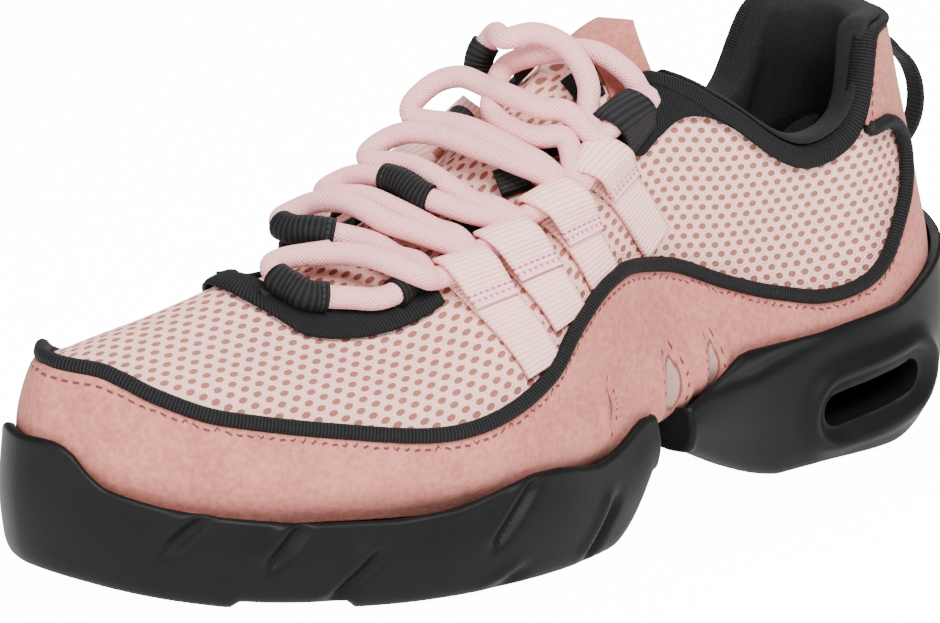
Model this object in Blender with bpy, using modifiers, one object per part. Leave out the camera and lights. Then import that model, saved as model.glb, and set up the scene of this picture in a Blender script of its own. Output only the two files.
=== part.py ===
"""Dance sneaker, left shoe: split sole, hollow upper, suede trims and lacing as separate pieces."""

import math

import bpy
import bmesh
import numpy as np
from mathutils import Matrix, Vector

for old in list(bpy.data.objects):
    bpy.data.objects.remove(old, do_unlink=True)

# Driving sizes in metres. X runs to the toe, Y to the outer side of the foot, Z up.
LENGTH = 0.270
BALL_WIDTH = 0.101
INSTEP_HEIGHT = 0.118
HEEL_SEAT = 0.030
TOE_SPRING = 0.010
HEEL_BEVEL = 0.018
WALL = 0.0022
SUEDE = 0.0010
BINDING = 0.0010
WEBBING = 0.0012
STRAP_WIDTH = 0.0110
PIPING_RADIUS = 0.0019
LACE_RADIUS = 0.0028
TONGUE = 0.0032
BOARD = 0.0030
GAP = 0.0003
LIFT = 0.0009          # an overlay's height over the wall: the gap and the sag of its facets
CUP_LIFT = LIFT + SUEDE + 5 * GAP

PER_LENGTH = LENGTH / 100
PER_WIDTH = BALL_WIDTH / 100
PER_HEIGHT = INSTEP_HEIGHT / 100
PER_SEAT = HEEL_SEAT / 100

# The last, a row for each section from the back of the heel to the toe tip. Lengths in percent
# of LENGTH from the heel, widths of BALL_WIDTH, the seat of HEEL_SEAT, and the heights above it
# of INSTEP_HEIGHT. The shares run from the spine (0) to the widest line of the section (1).
LAST_COLUMNS = ("x", "lateral", "medial", "spine_x", "spine_y", "seat", "bulge", "waist", "shoulder",
                "crest", "seat_share", "waist_share", "lateral_share", "medial_share", "crest_share")
LAST_ROWS = (
    (1.5, -2.5, -2.5, 14.8, -2.5, 100, 13.5, 30.5, 53.5, 74.5, 0.87, 0.92, 0.78, 0.78, 0.64),
    (3.0, 17.0, -22.0, 14.8, -2.5, 100, 11.0, 30.5, 53.5, 74.5, 0.85, 0.90, 0.74, 0.74, 0.60),
    (10.7, 27.0, -32.0, 14.8, -2.5, 97, 7.6, 24.6, 53.5, 75.5, 0.82, 0.87, 0.80, 0.80, 0.66),
    (20.4, 27.0, -32.0, 20.4, -2.5, 92, 8.0, 21.6, 46.0, 76.5, 0.80, 0.84, 0.79, 0.79, 0.66),
    (29.6, 27.0, -30.0, 29.6, -2.5, 83, 9.3, 24.6, 56.8, 79.5, 0.76, 0.83, 0.78, 0.80, 0.50),
    (38.9, 31.0, -28.0, 38.9, -3.5, 73, 8.5, 30.5, 66.0, 81.4, 0.80, 0.78, 0.62, 0.72, 0.22),
    (48.1, 38.0, -32.0, 48.1, -6.0, 63, 8.5, 34.7, 61.9, 71.2, 0.85, 0.84, 0.50, 0.62, 0.00),
    (58.1, 44.0, -40.0, 58.1, -9.0, 58, 9.7, 26.7, 45.3, 58.0, 0.86, 0.90, 0.48, 0.62, 0.00),
    (67.8, 42.5, -45.5, 67.8, -12.0, 58, 9.7, 20.8, 33.5, 48.7, 0.87, 0.93, 0.52, 0.60, 0.00),
    (78.1, 33.5, -46.0, 77.4, -14.0, 62, 10.6, 20.8, 31.8, 41.1, 0.88, 0.87, 0.50, 0.55, 0.00),
    (88.5, 21.5, -39.5, 83.3, -15.5, 70, 11.0, 22.0, 29.7, 35.6, 0.88, 0.85, 0.55, 0.55, 0.00),
    (95.2, 4.5, -30.0, 85.6, -16.0, 80, 11.9, 23.7, 28.0, 31.8, 0.88, 0.87, 0.62, 0.62, 0.00),
    (98.0, -14.0, -14.0, 85.6, -16.0, 83, 12.7, 23.7, 27.5, 31.0, 0.88, 0.95, 0.74, 0.74, 0.00),
)
TIP = len(LAST_ROWS) - 1
RING = 2 * TIP
LAST = {name: np.array([row[i] for row in LAST_ROWS], float) for i, name in enumerate(LAST_COLUMNS)}

# Where the profile meets the seat, the widest line, the waist, the shoulder and the crest.
PROFILE_STOPS = np.array([0.0, 0.2, 0.42, 0.72, 1.0])


def cubic(stops, rows, at):
    """Smooth curve through rows of values, with the slopes of their neighbours."""
    stops, rows, at = (np.asarray(part, float) for part in (stops, rows, at))
    wide = (-1,) + (1,) * (rows.ndim - 1)
    step = np.diff(stops)
    slope = np.diff(rows, axis=0) / step.reshape(wide)
    weight = (step[1:] / (step[1:] + step[:-1])).reshape(wide)
    inner = weight * slope[:-1] + (1 - weight) * slope[1:]
    slopes = np.concatenate([slope[:1], inner, slope[-1:]])
    low = np.clip(np.searchsorted(stops, at, side="right") - 1, 0, len(stops) - 2)
    grow = at.shape + (1,) * (rows.ndim - 1)
    t = ((at - stops[low]) / step[low]).reshape(grow)
    span = step[low].reshape(grow)
    return ((2 * t ** 3 - 3 * t ** 2 + 1) * rows[low] + (t ** 3 - 2 * t ** 2 + t) * span * slopes[low]
            + (3 * t ** 2 - 2 * t ** 3) * rows[low + 1] + (t ** 3 - t ** 2) * span * slopes[low + 1])


def ring_rows():
    """The rows as one closed ring: outer side from heel to tip, then inner side back to the heel."""
    own = {"y": ("lateral", "medial"), "shoulder_share": ("lateral_share", "medial_share")}
    order = ("x", "y", "spine_x", "spine_y", "seat", "bulge", "waist", "shoulder", "crest",
             "seat_share", "waist_share", "shoulder_share", "crest_share")
    columns = []
    for name in order:
        outer, inner = own.get(name, (name, name))
        columns.append(np.concatenate([LAST[outer], LAST[inner][-2:0:-1]]))
    return np.stack(columns, -1)


def ring_stops():
    half_width = (LAST["lateral"] - LAST["medial"]) / 2 * PER_WIDTH
    step = np.hypot(np.diff(LAST["x"] * PER_LENGTH), np.diff(half_width))
    return np.concatenate([[0.0], np.cumsum(np.concatenate([step, step[::-1]]))])


ROWS = ring_rows()
STOPS = ring_stops()
ROWS_AROUND = np.vstack([ROWS, ROWS, ROWS])
STOPS_AROUND = np.concatenate([STOPS[:-1] - STOPS[-1], STOPS[:-1], STOPS[:-1] + STOPS[-1]])


def section(station):
    """The last's section at a station: 0 is the back of the heel, TIP the toe, RING the heel again."""
    station = np.asarray(station, float) % RING
    row = cubic(STOPS_AROUND, ROWS_AROUND, np.interp(station, np.arange(RING + 1), STOPS))
    x, y, spine_x, spine_y = (row[..., i] for i in range(4))
    outline = np.stack([x * PER_LENGTH - LENGTH / 2, y * PER_WIDTH], -1)
    spine = np.stack([spine_x * PER_LENGTH - LENGTH / 2, spine_y * PER_WIDTH], -1)
    seat = row[..., 4] * PER_SEAT
    heights = np.concatenate([seat[..., None], seat[..., None] + row[..., 5:9] * PER_HEIGHT], -1)
    shares = np.stack([row[..., 9], np.ones_like(x), row[..., 10], row[..., 11],
                       np.maximum(row[..., 12], 0)], -1)
    return outline, spine, heights, shares


def on_last(station, rise):
    """A point of the last's skin: station around the shoe, rise from the seat (0) to the crest (1)."""
    station, rise = np.broadcast_arrays(np.asarray(station, float), np.asarray(rise, float))
    shape = station.shape
    outline, spine, heights, shares = section(station.reshape(-1))
    plan = spine[:, None] + shares[..., None] * (outline - spine)[:, None]
    cage = np.concatenate([plan, heights[..., None]], -1)
    step = np.diff(PROFILE_STOPS)
    slope = np.diff(cage, axis=1) / step[None, :, None]
    weight = (step[1:] / (step[1:] + step[:-1]))[None, :, None]
    slopes = np.concatenate([slope[:, :1], weight * slope[:, :-1] + (1 - weight) * slope[:, 1:],
                             slope[:, -1:]], 1)
    slopes[:, 4, 2] *= np.clip(shares[:, 4] / 0.3, 0, 1)
    flat = rise.reshape(-1)
    low = np.clip(np.searchsorted(PROFILE_STOPS, flat, side="right") - 1, 0, 3)
    each = np.arange(len(flat))
    t = ((flat - PROFILE_STOPS[low]) / step[low])[:, None]
    span = step[low][:, None]
    point = ((2 * t ** 3 - 3 * t ** 2 + 1) * cage[each, low]
             + (t ** 3 - 2 * t ** 2 + t) * span * slopes[each, low]
             + (3 * t ** 2 - 2 * t ** 3) * cage[each, low + 1]
             + (t ** 3 - t ** 2) * span * slopes[each, low + 1])
    return point.reshape(shape + (3,))


def skin(station, rise, lift=0.0):
    """A point at a height over the last's skin, along its normal."""
    station, rise, lift = np.broadcast_arrays(*(np.asarray(a, float) for a in (station, rise, lift)))
    nudge = 0.002
    around = on_last(station + nudge, rise) - on_last(station - nudge, rise)
    up = on_last(station, np.minimum(rise + nudge, 1)) - on_last(station, np.maximum(rise - nudge, 0))
    normal = np.cross(up, around)
    size = np.linalg.norm(normal, axis=-1, keepdims=True)
    normal = np.where(size > 1e-12, normal / np.maximum(size, 1e-12), (0.0, 0.0, 1.0))
    return on_last(station, rise) + lift[..., None] * normal


def rise_at(station, height):
    """The rise at which the section reaches a height."""
    rises = np.linspace(0, 1, 101)
    return float(np.interp(height, on_last(station, rises)[:, 2], rises))


def mirrored(stations):
    return RING - np.asarray(stations, float)


# Upper edge of the wall: round the tab, the ankle dip, the top of the throat, and its rounded toe.
TOPLINE_COLUMNS = ("station", "rise")
TOPLINE = ((0, 0.885), (1.0, 0.885), (1.98, 0.885), (2.1, 0.85), (2.2, 0.79), (2.3, 0.73), (2.42, 0.705),
           (2.6, 0.70), (2.9, 0.71), (3.2, 0.72), (3.5, 0.73), (3.8, 0.745), (4.1, 0.765), (4.4, 0.785),
           (4.95, 0.81), (5.3, 0.745), (5.65, 0.69), (6.1, 0.70), (6.5, 0.71), (6.9, 0.735),
           (7.3, 0.765), (7.8, 0.785), (8.1, 0.80), (8.4, 0.825), (8.6, 0.86), (8.75, 0.91), (8.85, 1.0))
THROAT_TOE = TOPLINE[-1][0]


def topline(station):
    station = np.asarray(station, float) % RING
    station = np.where(station > TIP, RING - station, station)
    return np.interp(station, *zip(*TOPLINE))


# Collection, materials and mesh helpers
shoe = bpy.data.collections.new("dance_sneaker")
bpy.context.scene.collection.children.link(shoe)
cutters = bpy.data.collections.new("cutters")
bpy.context.scene.collection.children.link(cutters)
stand = bpy.data.objects.new("shoe_frame", None)
shoe.objects.link(stand)


def material(name, colour, roughness):
    made = bpy.data.materials.get(name)
    if made is None:
        made = bpy.data.materials.new(name)
        made.use_nodes = True
        shader = made.node_tree.nodes["Principled BSDF"]
        shader.inputs["Base Color"].default_value = (*colour, 1)
        shader.inputs["Roughness"].default_value = roughness
        shader.inputs["Metallic"].default_value = 0.0
    return made


FINISHES = {
    "air_mesh": ((0.78, 0.50, 0.45), 0.85),
    "suede": ((0.62, 0.35, 0.31), 0.95),
    "pink_webbing": ((0.83, 0.54, 0.51), 0.7),
    "pink_lace": ((0.85, 0.50, 0.50), 0.75),
    "black_webbing": ((0.015, 0.015, 0.017), 0.75),
    "black_lining": ((0.02, 0.02, 0.02), 0.9),
    "sole_rubber": ((0.03, 0.03, 0.03), 0.5),
}


def finish(made, finish_name):
    made.data.materials.append(material(finish_name, *FINISHES[finish_name]))
    made.parent = stand
    made.data.shade_smooth()
    made.data.set_sharp_from_angle(angle=math.radians(40))
    return made


def mesh_object(name, finish_name, rings, closed_around=False, closed_across=False, home=None, weld=1e-6):
    """A mesh of quads through a grid of points, welded where rings share a point."""
    rings = np.asarray(rings, float)
    count, across = rings.shape[:2]
    mesh = bpy.data.meshes.new(name)
    work = bmesh.new()
    points = [[work.verts.new(p) for p in ring] for ring in rings]
    for i in range(count if closed_around else count - 1):
        for j in range(across if closed_across else across - 1):
            k, m = (i + 1) % count, (j + 1) % across
            work.faces.new((points[i][j], points[k][j], points[k][m], points[i][m]))
    bmesh.ops.remove_doubles(work, verts=work.verts[:], dist=weld)
    bmesh.ops.dissolve_degenerate(work, edges=work.edges[:], dist=1e-7)
    work.to_mesh(mesh)
    work.free()
    made = bpy.data.objects.new(name, mesh)
    (home or shoe).objects.link(made)
    return finish(made, finish_name)


def thicken(made, thickness, offset):
    """A wall from an open sheet: offset 1 grows it outwards, -1 inwards, 0 both ways."""
    shell = made.modifiers.new("wall", "SOLIDIFY")
    shell.thickness = thickness
    shell.offset = offset
    shell.use_even_offset = True
    shell.thickness_clamp = 0.0
    return made


def sheet(name, finish_name, stations, rises, lift, thickness, around=False, offset=1, weld=1e-6):
    """A wall over a grid of stations and rises, its outer face away from the foot."""
    stations, rises = np.broadcast_arrays(np.asarray(stations, float), np.asarray(rises, float))
    points = skin(stations, rises, lift)
    above = skin(stations, rises, np.asarray(lift) + 0.001) - points
    i, j = len(points) // 2, 1
    turn = np.cross(points[i, j] - points[i - 1, j], points[i, j] - points[i, j - 1])
    if turn @ above[i, j] < 0:
        points = points[:, ::-1]
    made = mesh_object(name, finish_name, points, closed_around=around, weld=weld)
    return thicken(made, thickness, offset)


def close_solid(made):
    """Caps the ends of a loft and turns every face outwards."""
    work = bmesh.new()
    work.from_mesh(made.data)
    bmesh.ops.holes_fill(work, edges=[e for e in work.edges if e.is_boundary])
    bmesh.ops.triangulate(work, faces=[f for f in work.faces if len(f.verts) > 4])
    bmesh.ops.recalc_face_normals(work, faces=work.faces[:])
    work.to_mesh(made.data)
    work.free()
    return made


def tube(name, finish_name, points, radius, resolution=2):
    """A round cord along points, with filled ends."""
    curve = bpy.data.curves.new(name, "CURVE")
    curve.dimensions = "3D"
    curve.bevel_depth = radius
    curve.bevel_resolution = resolution
    curve.use_fill_caps = True
    spline = curve.splines.new("POLY")
    spline.points.add(len(points) - 1)
    for slot, point in zip(spline.points, points):
        slot.co = (*point, 1)
    made = bpy.data.objects.new(name, curve)
    shoe.objects.link(made)
    made.parent = stand
    curve.materials.append(material(finish_name, *FINISHES[finish_name]))
    return made


def boolean(made, tool, operation):
    cut = made.modifiers.new(operation.lower(), "BOOLEAN")
    cut.operation = operation
    cut.solver = "EXACT"
    cut.object = tool
    tool.hide_render = True
    tool.display_type = "WIRE"


def spaced(points, count):
    """Points a like distance apart on a smooth curve through the given ones."""
    points = np.asarray(points, float)
    reach = np.concatenate([[0], np.cumsum(np.linalg.norm(np.diff(points, axis=0), axis=1))])
    fine = cubic(reach, points, np.linspace(0, reach[-1], 20 * count))
    along = np.concatenate([[0], np.cumsum(np.linalg.norm(np.diff(fine, axis=0), axis=1))])
    return np.stack([np.interp(np.linspace(0, along[-1], count), along, fine[:, i]) for i in range(3)], -1)


# Upper: one hollow wall, open at the collar, the throat and underneath
UPPER_STATIONS = (0, 0.4, 0.8, 1.2, 1.6, 1.98, 2.1, 2.2, 2.3, 2.42, 2.7, 3.1, 3.5, 3.9, 4.3, 4.65, 4.95,
                  5.3, 5.65, 6.0, 6.4, 6.8, 7.2, 7.6, 8.0, 8.25, 8.45, 8.6, 8.75, THROAT_TOE, 9.2, 9.6,
                  10.0, 10.4, 10.8, 11.2, 11.6, 12)
UPPER_SHARES = np.array([0, 0.08, 0.17, 0.27, 0.38, 0.49, 0.61, 0.74, 0.87, 1.0])


def both_sides(stations):
    """Stations of the outer side, then their mirror on the inner side back to the start."""
    return np.concatenate([stations, mirrored(stations[-2:0:-1])])


def make_upper():
    stations = both_sides(np.array(UPPER_STATIONS, float))
    rises = topline(stations)[:, None] * UPPER_SHARES[None]
    return sheet("upper", "air_mesh", stations[:, None], rises, 0.0, WALL, around=True, offset=-1)


# Sole units. A row for each station: how far the outline stands out from the last's widest line,
# in percent of BALL_WIDTH, and the height of the cup's lip in percent of HEEL_SEAT.
UNIT_COLUMNS = ("station", "flare", "lip")
HEEL_UNIT = ((0, 4.0, 184), (0.6, 4.8, 180), (1.0, 5.5, 166), (1.5, 5.3, 146), (2.0, 5.2, 130),
             (3.0, 5.2, 119), (3.9, 5.2, 120), (4.2, 5.2, 121), (4.45, 5.2, 108), (4.8, 5.1, 96),
             (5.05, 5.0, 90))
TOE_UNIT = ((5.68, 5.1, 98), (5.85, 5.2, 103), (6.05, 5.2, 94), (6.3, 5.2, 84), (6.6, 5.2, 80),
            (7.05, 5.4, 90), (7.4, 5.3, 91), (7.7, 5.2, 84), (8.1, 5.2, 75), (8.6, 5.2, 72),
            (9.3, 5.2, 77), (10.0, 5.2, 89), (10.5, 5.3, 97), (11.0, 5.0, 109), (11.2, 5.0, 120),
            (11.35, 5.1, 136), (11.6, 5.3, 144), (12, 5.5, 143))
HEEL_UNIT_STATIONS = np.array([0, 0.2, 0.45, 0.7, 0.95, 1.2, 1.5, 2.0, 2.5, 3.0, 3.5, 3.9, 4.2, 4.45,
                               4.75, 5.05])
TOE_UNIT_STATIONS = np.array([5.68, 5.85, 6.05, 6.3, 6.6, 6.95, 7.3, 7.7, 8.1, 8.55, 8.96, 9.04, 9.4, 9.86,
                              9.94, 10.3, 10.65, 10.95, 11.15, 11.3, 11.5, 11.75, 12])
RECESS = (9.0, 9.9)
RECESS_DEPTH = 0.0018
LIP_ROUND = 0.0010
FOOT_ROUND = 0.0045


def ground(x):
    """Height of the tread: toe spring, flat ball, open arch, flat heel and its bevel."""
    toe = np.clip((x / LENGTH - 0.222) / 0.278, 0, 1)
    ball_end = np.clip((0.015 - x / LENGTH) / 0.063, 0, 1)
    arch = np.clip((x / LENGTH + 0.244) / 0.126, 0, 1)
    back = np.clip((-0.389 - x / LENGTH) / 0.111, 0, 1)
    if x > -0.11 * LENGTH:
        return TOE_SPRING * toe ** 2 + 0.5 * HEEL_SEAT * ball_end ** 2
    return 0.50 * HEEL_SEAT * arch ** 1.4 + HEEL_BEVEL * back ** 2


def sole_profile(station, table, grow=0.0):
    """One side of a sole unit's section: up the side wall, over the lip and down inside the cup."""
    near = station % RING
    near = min(near, RING - near)
    flare, lip = (np.interp(near, [r[0] for r in table], [r[i] for r in table]) for i in (1, 2))
    flare, lip = flare * PER_WIDTH, lip * PER_SEAT
    outline, spine, heights, shares = section(station)
    ahead, behind = section(station + 0.01)[0], section(station - 0.01)[0]
    along = (ahead - behind) / np.linalg.norm(ahead - behind)
    away = np.array([along[1], -along[0]])
    if away @ (outline - spine) < 0:
        away = -away
    edge = outline + (flare + grow) * away
    low = ground(edge[0]) + (RECESS_DEPTH if RECESS[0] < near < RECESS[1] else 0)
    tall = max(lip - low, 0.004)
    lip_rise = rise_at(station, lip - LIP_ROUND / 2)
    cup = [tuple(skin(station, lip_rise * part, CUP_LIFT)) for part in (1.0, 0.6, 0.3, 0.0)]

    def side(inset, height):
        return (*(edge - inset * away), height)

    return [side(FOOT_ROUND + 0.001, low), side(0.3 * FOOT_ROUND, low + 0.10 * tall),
            side(0, low + 0.28 * tall), side(0, low + 0.62 * tall),
            side(0.3 * LIP_ROUND, lip - LIP_ROUND), side(LIP_ROUND, lip),
            *cup[:3], (cup[3][0], cup[3][1], heights[0] - GAP)]


def sole_unit(name, table, stations, grow=0.0, home=None):
    """A unit as whole sections across the foot, closed to an edge at the toe tip or the heel's back."""
    rings = [sole_profile(s, table, grow) + sole_profile(mirrored(s), table, grow)[::-1] for s in stations]
    return close_solid(mesh_object(name, "sole_rubber", rings, closed_across=True, home=home))


def stadium(name, centre_x, centre_z, length, height):
    """An oval prism across the heel."""
    half = BALL_WIDTH
    mesh = bpy.data.meshes.new(name)
    work = bmesh.new()
    circle = bmesh.ops.create_circle(work, cap_ends=True, segments=20, radius=height / 2)
    for corner in circle["verts"]:
        corner.co.x += math.copysign((length - height) / 2, corner.co.x + 1e-9)
    lifted = bmesh.ops.extrude_face_region(work, geom=work.faces[:])
    top = [v for v in lifted["geom"] if isinstance(v, bmesh.types.BMVert)]
    bmesh.ops.translate(work, verts=top, vec=(0, 0, 2 * half))
    bmesh.ops.translate(work, verts=work.verts[:], vec=(0, 0, -half))
    bmesh.ops.rotate(work, verts=work.verts[:], cent=(0, 0, 0),
                     matrix=Matrix.Rotation(math.radians(90), 3, "X"))
    bmesh.ops.rotate(work, verts=work.verts[:], cent=(0, 0, 0),
                     matrix=Matrix.Rotation(WINDOW_TILT, 3, "Y"))
    bmesh.ops.recalc_face_normals(work, faces=work.faces[:])
    bmesh.ops.translate(work, verts=work.verts[:], vec=(centre_x, 0, centre_z))
    work.to_mesh(mesh)
    work.free()
    made = bpy.data.objects.new(name, mesh)
    cutters.objects.link(made)
    return made


# The heel's window and the moulded oval round it: middle, length and height
WINDOW_X = -0.357 * LENGTH
WINDOW_Z = 0.54 * HEEL_SEAT
WINDOW = (0.0350, 0.0090)
MOULDING = (0.0450, 0.0175)
WINDOW_TILT = math.radians(8)
MOULDING_PROUD = 0.0012


def make_heel_sole():
    unit = sole_unit("heel_sole", HEEL_UNIT, HEEL_UNIT_STATIONS)
    proud = sole_unit("heel_moulding_form", HEEL_UNIT, HEEL_UNIT_STATIONS, MOULDING_PROUD, cutters)
    boolean(proud, stadium("moulding_oval", WINDOW_X, WINDOW_Z, *MOULDING), "INTERSECT")
    boolean(unit, proud, "UNION")
    boolean(unit, stadium("window_oval", WINDOW_X, WINDOW_Z, *WINDOW), "DIFFERENCE")
    return unit


# Slashes in the side of the toe unit: upper end and lower end, percent of LENGTH from the middle,
# and height in percent of HEEL_SEAT
SLASH_COLUMNS = ("upper_x", "upper_z", "lower_x", "lower_z")
SLASHES = ((40.7, 90, 43.2, 66), (33.0, 78, 35.8, 50), (26.8, 46, 31.0, 10), (12.0, 84, 16.0, 44),
           (13.5, 12, 17.0, -4), (1.8, 44, 5.5, 4))
SLASH_WIDTH = 0.0022
SLASH_DEPTH = 0.0016


def side_station(x, medial):
    """The station of the sole's outline at a length."""
    stations = np.linspace(5.5, 11.6, 400)
    if medial:
        stations = mirrored(stations)
    found = np.abs(section(stations)[0][:, 0] - x).argmin()
    return stations[found]


def slash_cutter(name, row, medial):
    """A slender lens laid along a slash, half sunk into the side."""
    ends = []
    for x, z in ((row[0], row[1]), (row[2], row[3])):
        station = side_station(x * PER_LENGTH, medial)
        profile = sole_profile(station, TOE_UNIT)
        ends.append(Vector((profile[4][0], profile[4][1], z * PER_SEAT)))
    middle = (ends[0] + ends[1]) / 2
    along = ends[1] - ends[0]
    out = Vector((0, -1 if medial else 1, 0))
    across = along.cross(out).normalized()
    out = across.cross(along).normalized()
    mesh = bpy.data.meshes.new(name)
    work = bmesh.new()
    bmesh.ops.create_uvsphere(work, u_segments=8, v_segments=6, radius=1)
    half_length = along.normalized() * (along.length * 0.62)
    frame = Matrix((across * SLASH_WIDTH, out * SLASH_DEPTH, half_length)).transposed()
    bmesh.ops.transform(work, matrix=Matrix.Translation(middle) @ frame.to_4x4(), verts=work.verts[:])
    bmesh.ops.recalc_face_normals(work, faces=work.faces[:])
    work.to_mesh(mesh)
    work.free()
    made = bpy.data.objects.new(name, mesh)
    cutters.objects.link(made)
    return made


def make_toe_sole():
    unit = sole_unit("forefoot_sole", TOE_UNIT, TOE_UNIT_STATIONS)
    for medial in (False, True):
        for i, row in enumerate(SLASHES):
            name = f"slash_{'inner' if medial else 'outer'}_{i}"
            boolean(unit, slash_cutter(name, row, medial), "DIFFERENCE")
    return unit


# Insole board on the seat, inside the wall
def make_insole():
    rings = []
    for s in np.arange(0, TIP + 0.1, 0.5):
        seat = section(s)[2][0] + GAP
        half = []
        for station in (s, RING - s):
            foot = skin(station, 0, -(WALL + 2 * LIFT))
            edge = skin(station, 0.05, -(WALL + 2 * LIFT))
            half.append([(foot[0], foot[1], seat), (edge[0], edge[1], seat + BOARD)])
        rings.append(half[0] + half[1][::-1])
    return close_solid(mesh_object("insole", "black_lining", rings, closed_across=True))


# Suede mudguard: each rung runs from the piping to the lower edge, and at the heel to the back seam
RUNG_COLUMNS = ("piping_station", "piping_rise", "under_station", "under_rise")
RUNGS = ((12, 0.64, 12, 0.05), (11.6, 0.61, 11.6, 0.05), (11.25, 0.58, 11.25, 0.05),
         (10.9, 0.52, 10.9, 0.05), (10.6, 0.47, 10.6, 0.05), (10.1, 0.43, 10.1, 0.04),
         (9.6, 0.41, 9.6, 0.04), (9.05, 0.385, 9.05, 0.04), (8.5, 0.37, 8.5, 0.04),
         (8.0, 0.365, 8.0, 0.04), (7.45, 0.37, 7.45, 0.04), (6.95, 0.39, 6.95, 0.04),
         (6.6, 0.42, 6.6, 0.055), (6.2, 0.435, 6.2, 0.075), (5.87, 0.445, 5.9, 0.08),
         (5.55, 0.45, 5.6, 0.08),
         (4.8, 0.44, 4.85, 0.04), (4.15, 0.40, 4.1, 0.04), (3.5, 0.34, 3.4, 0.04),
         (2.9, 0.29, 2.7, 0.04), (2.37, 0.30, 2.0, 0.04), (1.89, 0.36, 1.3, 0.04),
         (1.51, 0.44, 0.6, 0.06), (1.40, 0.53, 0, 0.16), (1.55, 0.60, 0, 0.36), (1.83, 0.64, 0, 0.50),
         (2.2, 0.665, 0, 0.64), (2.14, 0.78, 0, 0.78), (1.96, 0.870, 0, 0.870))
PIPED_RUNGS = 27


def rung_point(t):
    """Piping and lower end of the rung at a place along the table."""
    row = cubic(np.arange(len(RUNGS)), RUNGS, t)
    return row[..., 0:2], np.stack([np.maximum(row[..., 2], 0), row[..., 3]], -1)


def piping_line(count):
    """Stations and rises along the outer side's piping."""
    return rung_point(np.linspace(0, PIPED_RUNGS - 1, count))[0]


def make_suede():
    piping = piping_line(700)
    piping = skin(piping[:, 0], piping[:, 1], LIFT + PIPING_RADIUS)
    rings = []
    for t in np.concatenate([np.arange(18), np.arange(18, len(RUNGS) - 0.9, 0.5)]):
        top, under = rung_point(np.array(t))
        trial = np.linspace(0, 1, 80)[:, None]
        line = skin(*(top + trial * (under - top)).T, LIFT + SUEDE / 2)
        clear = np.linalg.norm(line[:, None] - piping[None], axis=-1).min(1) > PIPING_RADIUS + LIFT
        start = trial[np.argmax(clear), 0]
        shares = start + (1 - start) * np.array([0, 0.2, 0.42, 0.64, 0.82, 1])
        rings.append(top + shares[:, None] * (under - top))
    rings = np.array(rings)
    other = rings[:0:-1].copy()
    other[..., 0] = mirrored(other[..., 0])
    around = np.concatenate([other, rings])
    return sheet("suede_mudguard", "suede", around[..., 0], around[..., 1], LIFT, SUEDE)


def make_piping():
    top = piping_line(60)
    line = np.concatenate([np.stack([mirrored(top[:0:-1, 0]), top[:0:-1, 1]], -1), top])
    points = skin(line[:, 0], line[:, 1], LIFT + PIPING_RADIUS)
    return tube("piping", "black_webbing", spaced(points, 76), PIPING_RADIUS, 1)


# Tongue: a padded flap inside the throat, from under the ankle lining to the throat's toe
TONGUE_COLUMNS = ("station", "side_rise")
TONGUE_ROWS = ((5.0, 0.60), (5.3, 0.57), (5.65, 0.55), (6.0, 0.56), (6.4, 0.57), (6.8, 0.60), (7.2, 0.63),
               (7.6, 0.65), (8.0, 0.67), (8.4, 0.70), (8.8, 0.78), (9.1, 0.86), (9.3, 0.93))
TONGUE_SHARES = np.array([0, 0.2, 0.4, 0.6, 0.8, 1.0])


def make_tongue():
    rings = []
    for station, low in TONGUE_ROWS:
        rises = low + TONGUE_SHARES * (1 - low)
        half = np.stack([np.full(len(rises), float(station)), rises], -1)
        other = half[::-1].copy()
        other[:, 0] = mirrored(other[:, 0])
        rings.append(np.concatenate([half, other]))
    rings = np.array(rings)
    return sheet("tongue", "air_mesh", rings[..., 0], rings[..., 1], -(WALL + 2 * LIFT), TONGUE, offset=-1,
                 weld=0.0006)


# Black binding round the throat: outer edge of the band at each station
BINDING_COLUMNS = ("station", "inner_rise", "outer_rise")
BINDING_ROWS = ((7.46, 0.766, 0.70), (7.6, 0.773, 0.705), (7.8, 0.785, 0.715), (8.1, 0.80, 0.73),
                (8.4, 0.825, 0.74), (8.6, 0.86, 0.75), (8.75, 0.91, 0.77))
BINDING_TOE_COLUMNS = ("rise", "outer_station")
BINDING_TOE = ((0.80, 8.82), (0.86, 8.95), (0.92, 9.06), (1.0, 9.14))


def make_throat_binding():
    rings = []
    for station, inner, outer in BINDING_ROWS:
        shares = np.linspace(0, 1, 4)
        rings.append([(station, inner + t * (outer - inner)) for t in shares])
    for rise, station in BINDING_TOE:
        inner_rise = min(1.0, 0.91 + (rise - 0.80) * 0.45)
        inner = np.array([8.75 + (THROAT_TOE - 8.75) * (inner_rise - 0.91) / 0.09, inner_rise])
        outer = np.array([station, rise])
        rings.append([tuple(inner + t * (outer - inner)) for t in np.linspace(0, 1, 4)])
    rings = np.array(rings)
    other = rings[-2::-1].copy()
    other[..., 0] = mirrored(other[..., 0])
    around = np.concatenate([rings, other])
    return sheet("throat_binding", "black_webbing", around[..., 0], around[..., 1], LIFT, BINDING)


# Padded collar lining: a closed section at each station, as heights over the wall's edge along
# the wall and depths from the last's skin, in shares of PADDING, from the inner foot over the edge
PADDING = 0.0040
LINING_COLUMNS = ("over_edge", "over_skin")
LINING_SECTION = ((-7.5, -1.0), (-4.0, -1.0), (0.3, -1.0), (0.35, 0.05), (0.6, 0.1), (0.85, -0.3),
                  (0.9, -1.2), (0.25, -2.15), (-2.25, -2.3), (-5.0, -1.8), (-7.5, -1.25))
LINING_STATIONS = np.array([s for s in UPPER_STATIONS if s < 4.9])


def edge_rate(station, rise):
    """Metres of skin per unit of rise."""
    return float(np.linalg.norm(on_last(station, rise) - on_last(station, rise - 0.02)) / 0.02)


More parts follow.
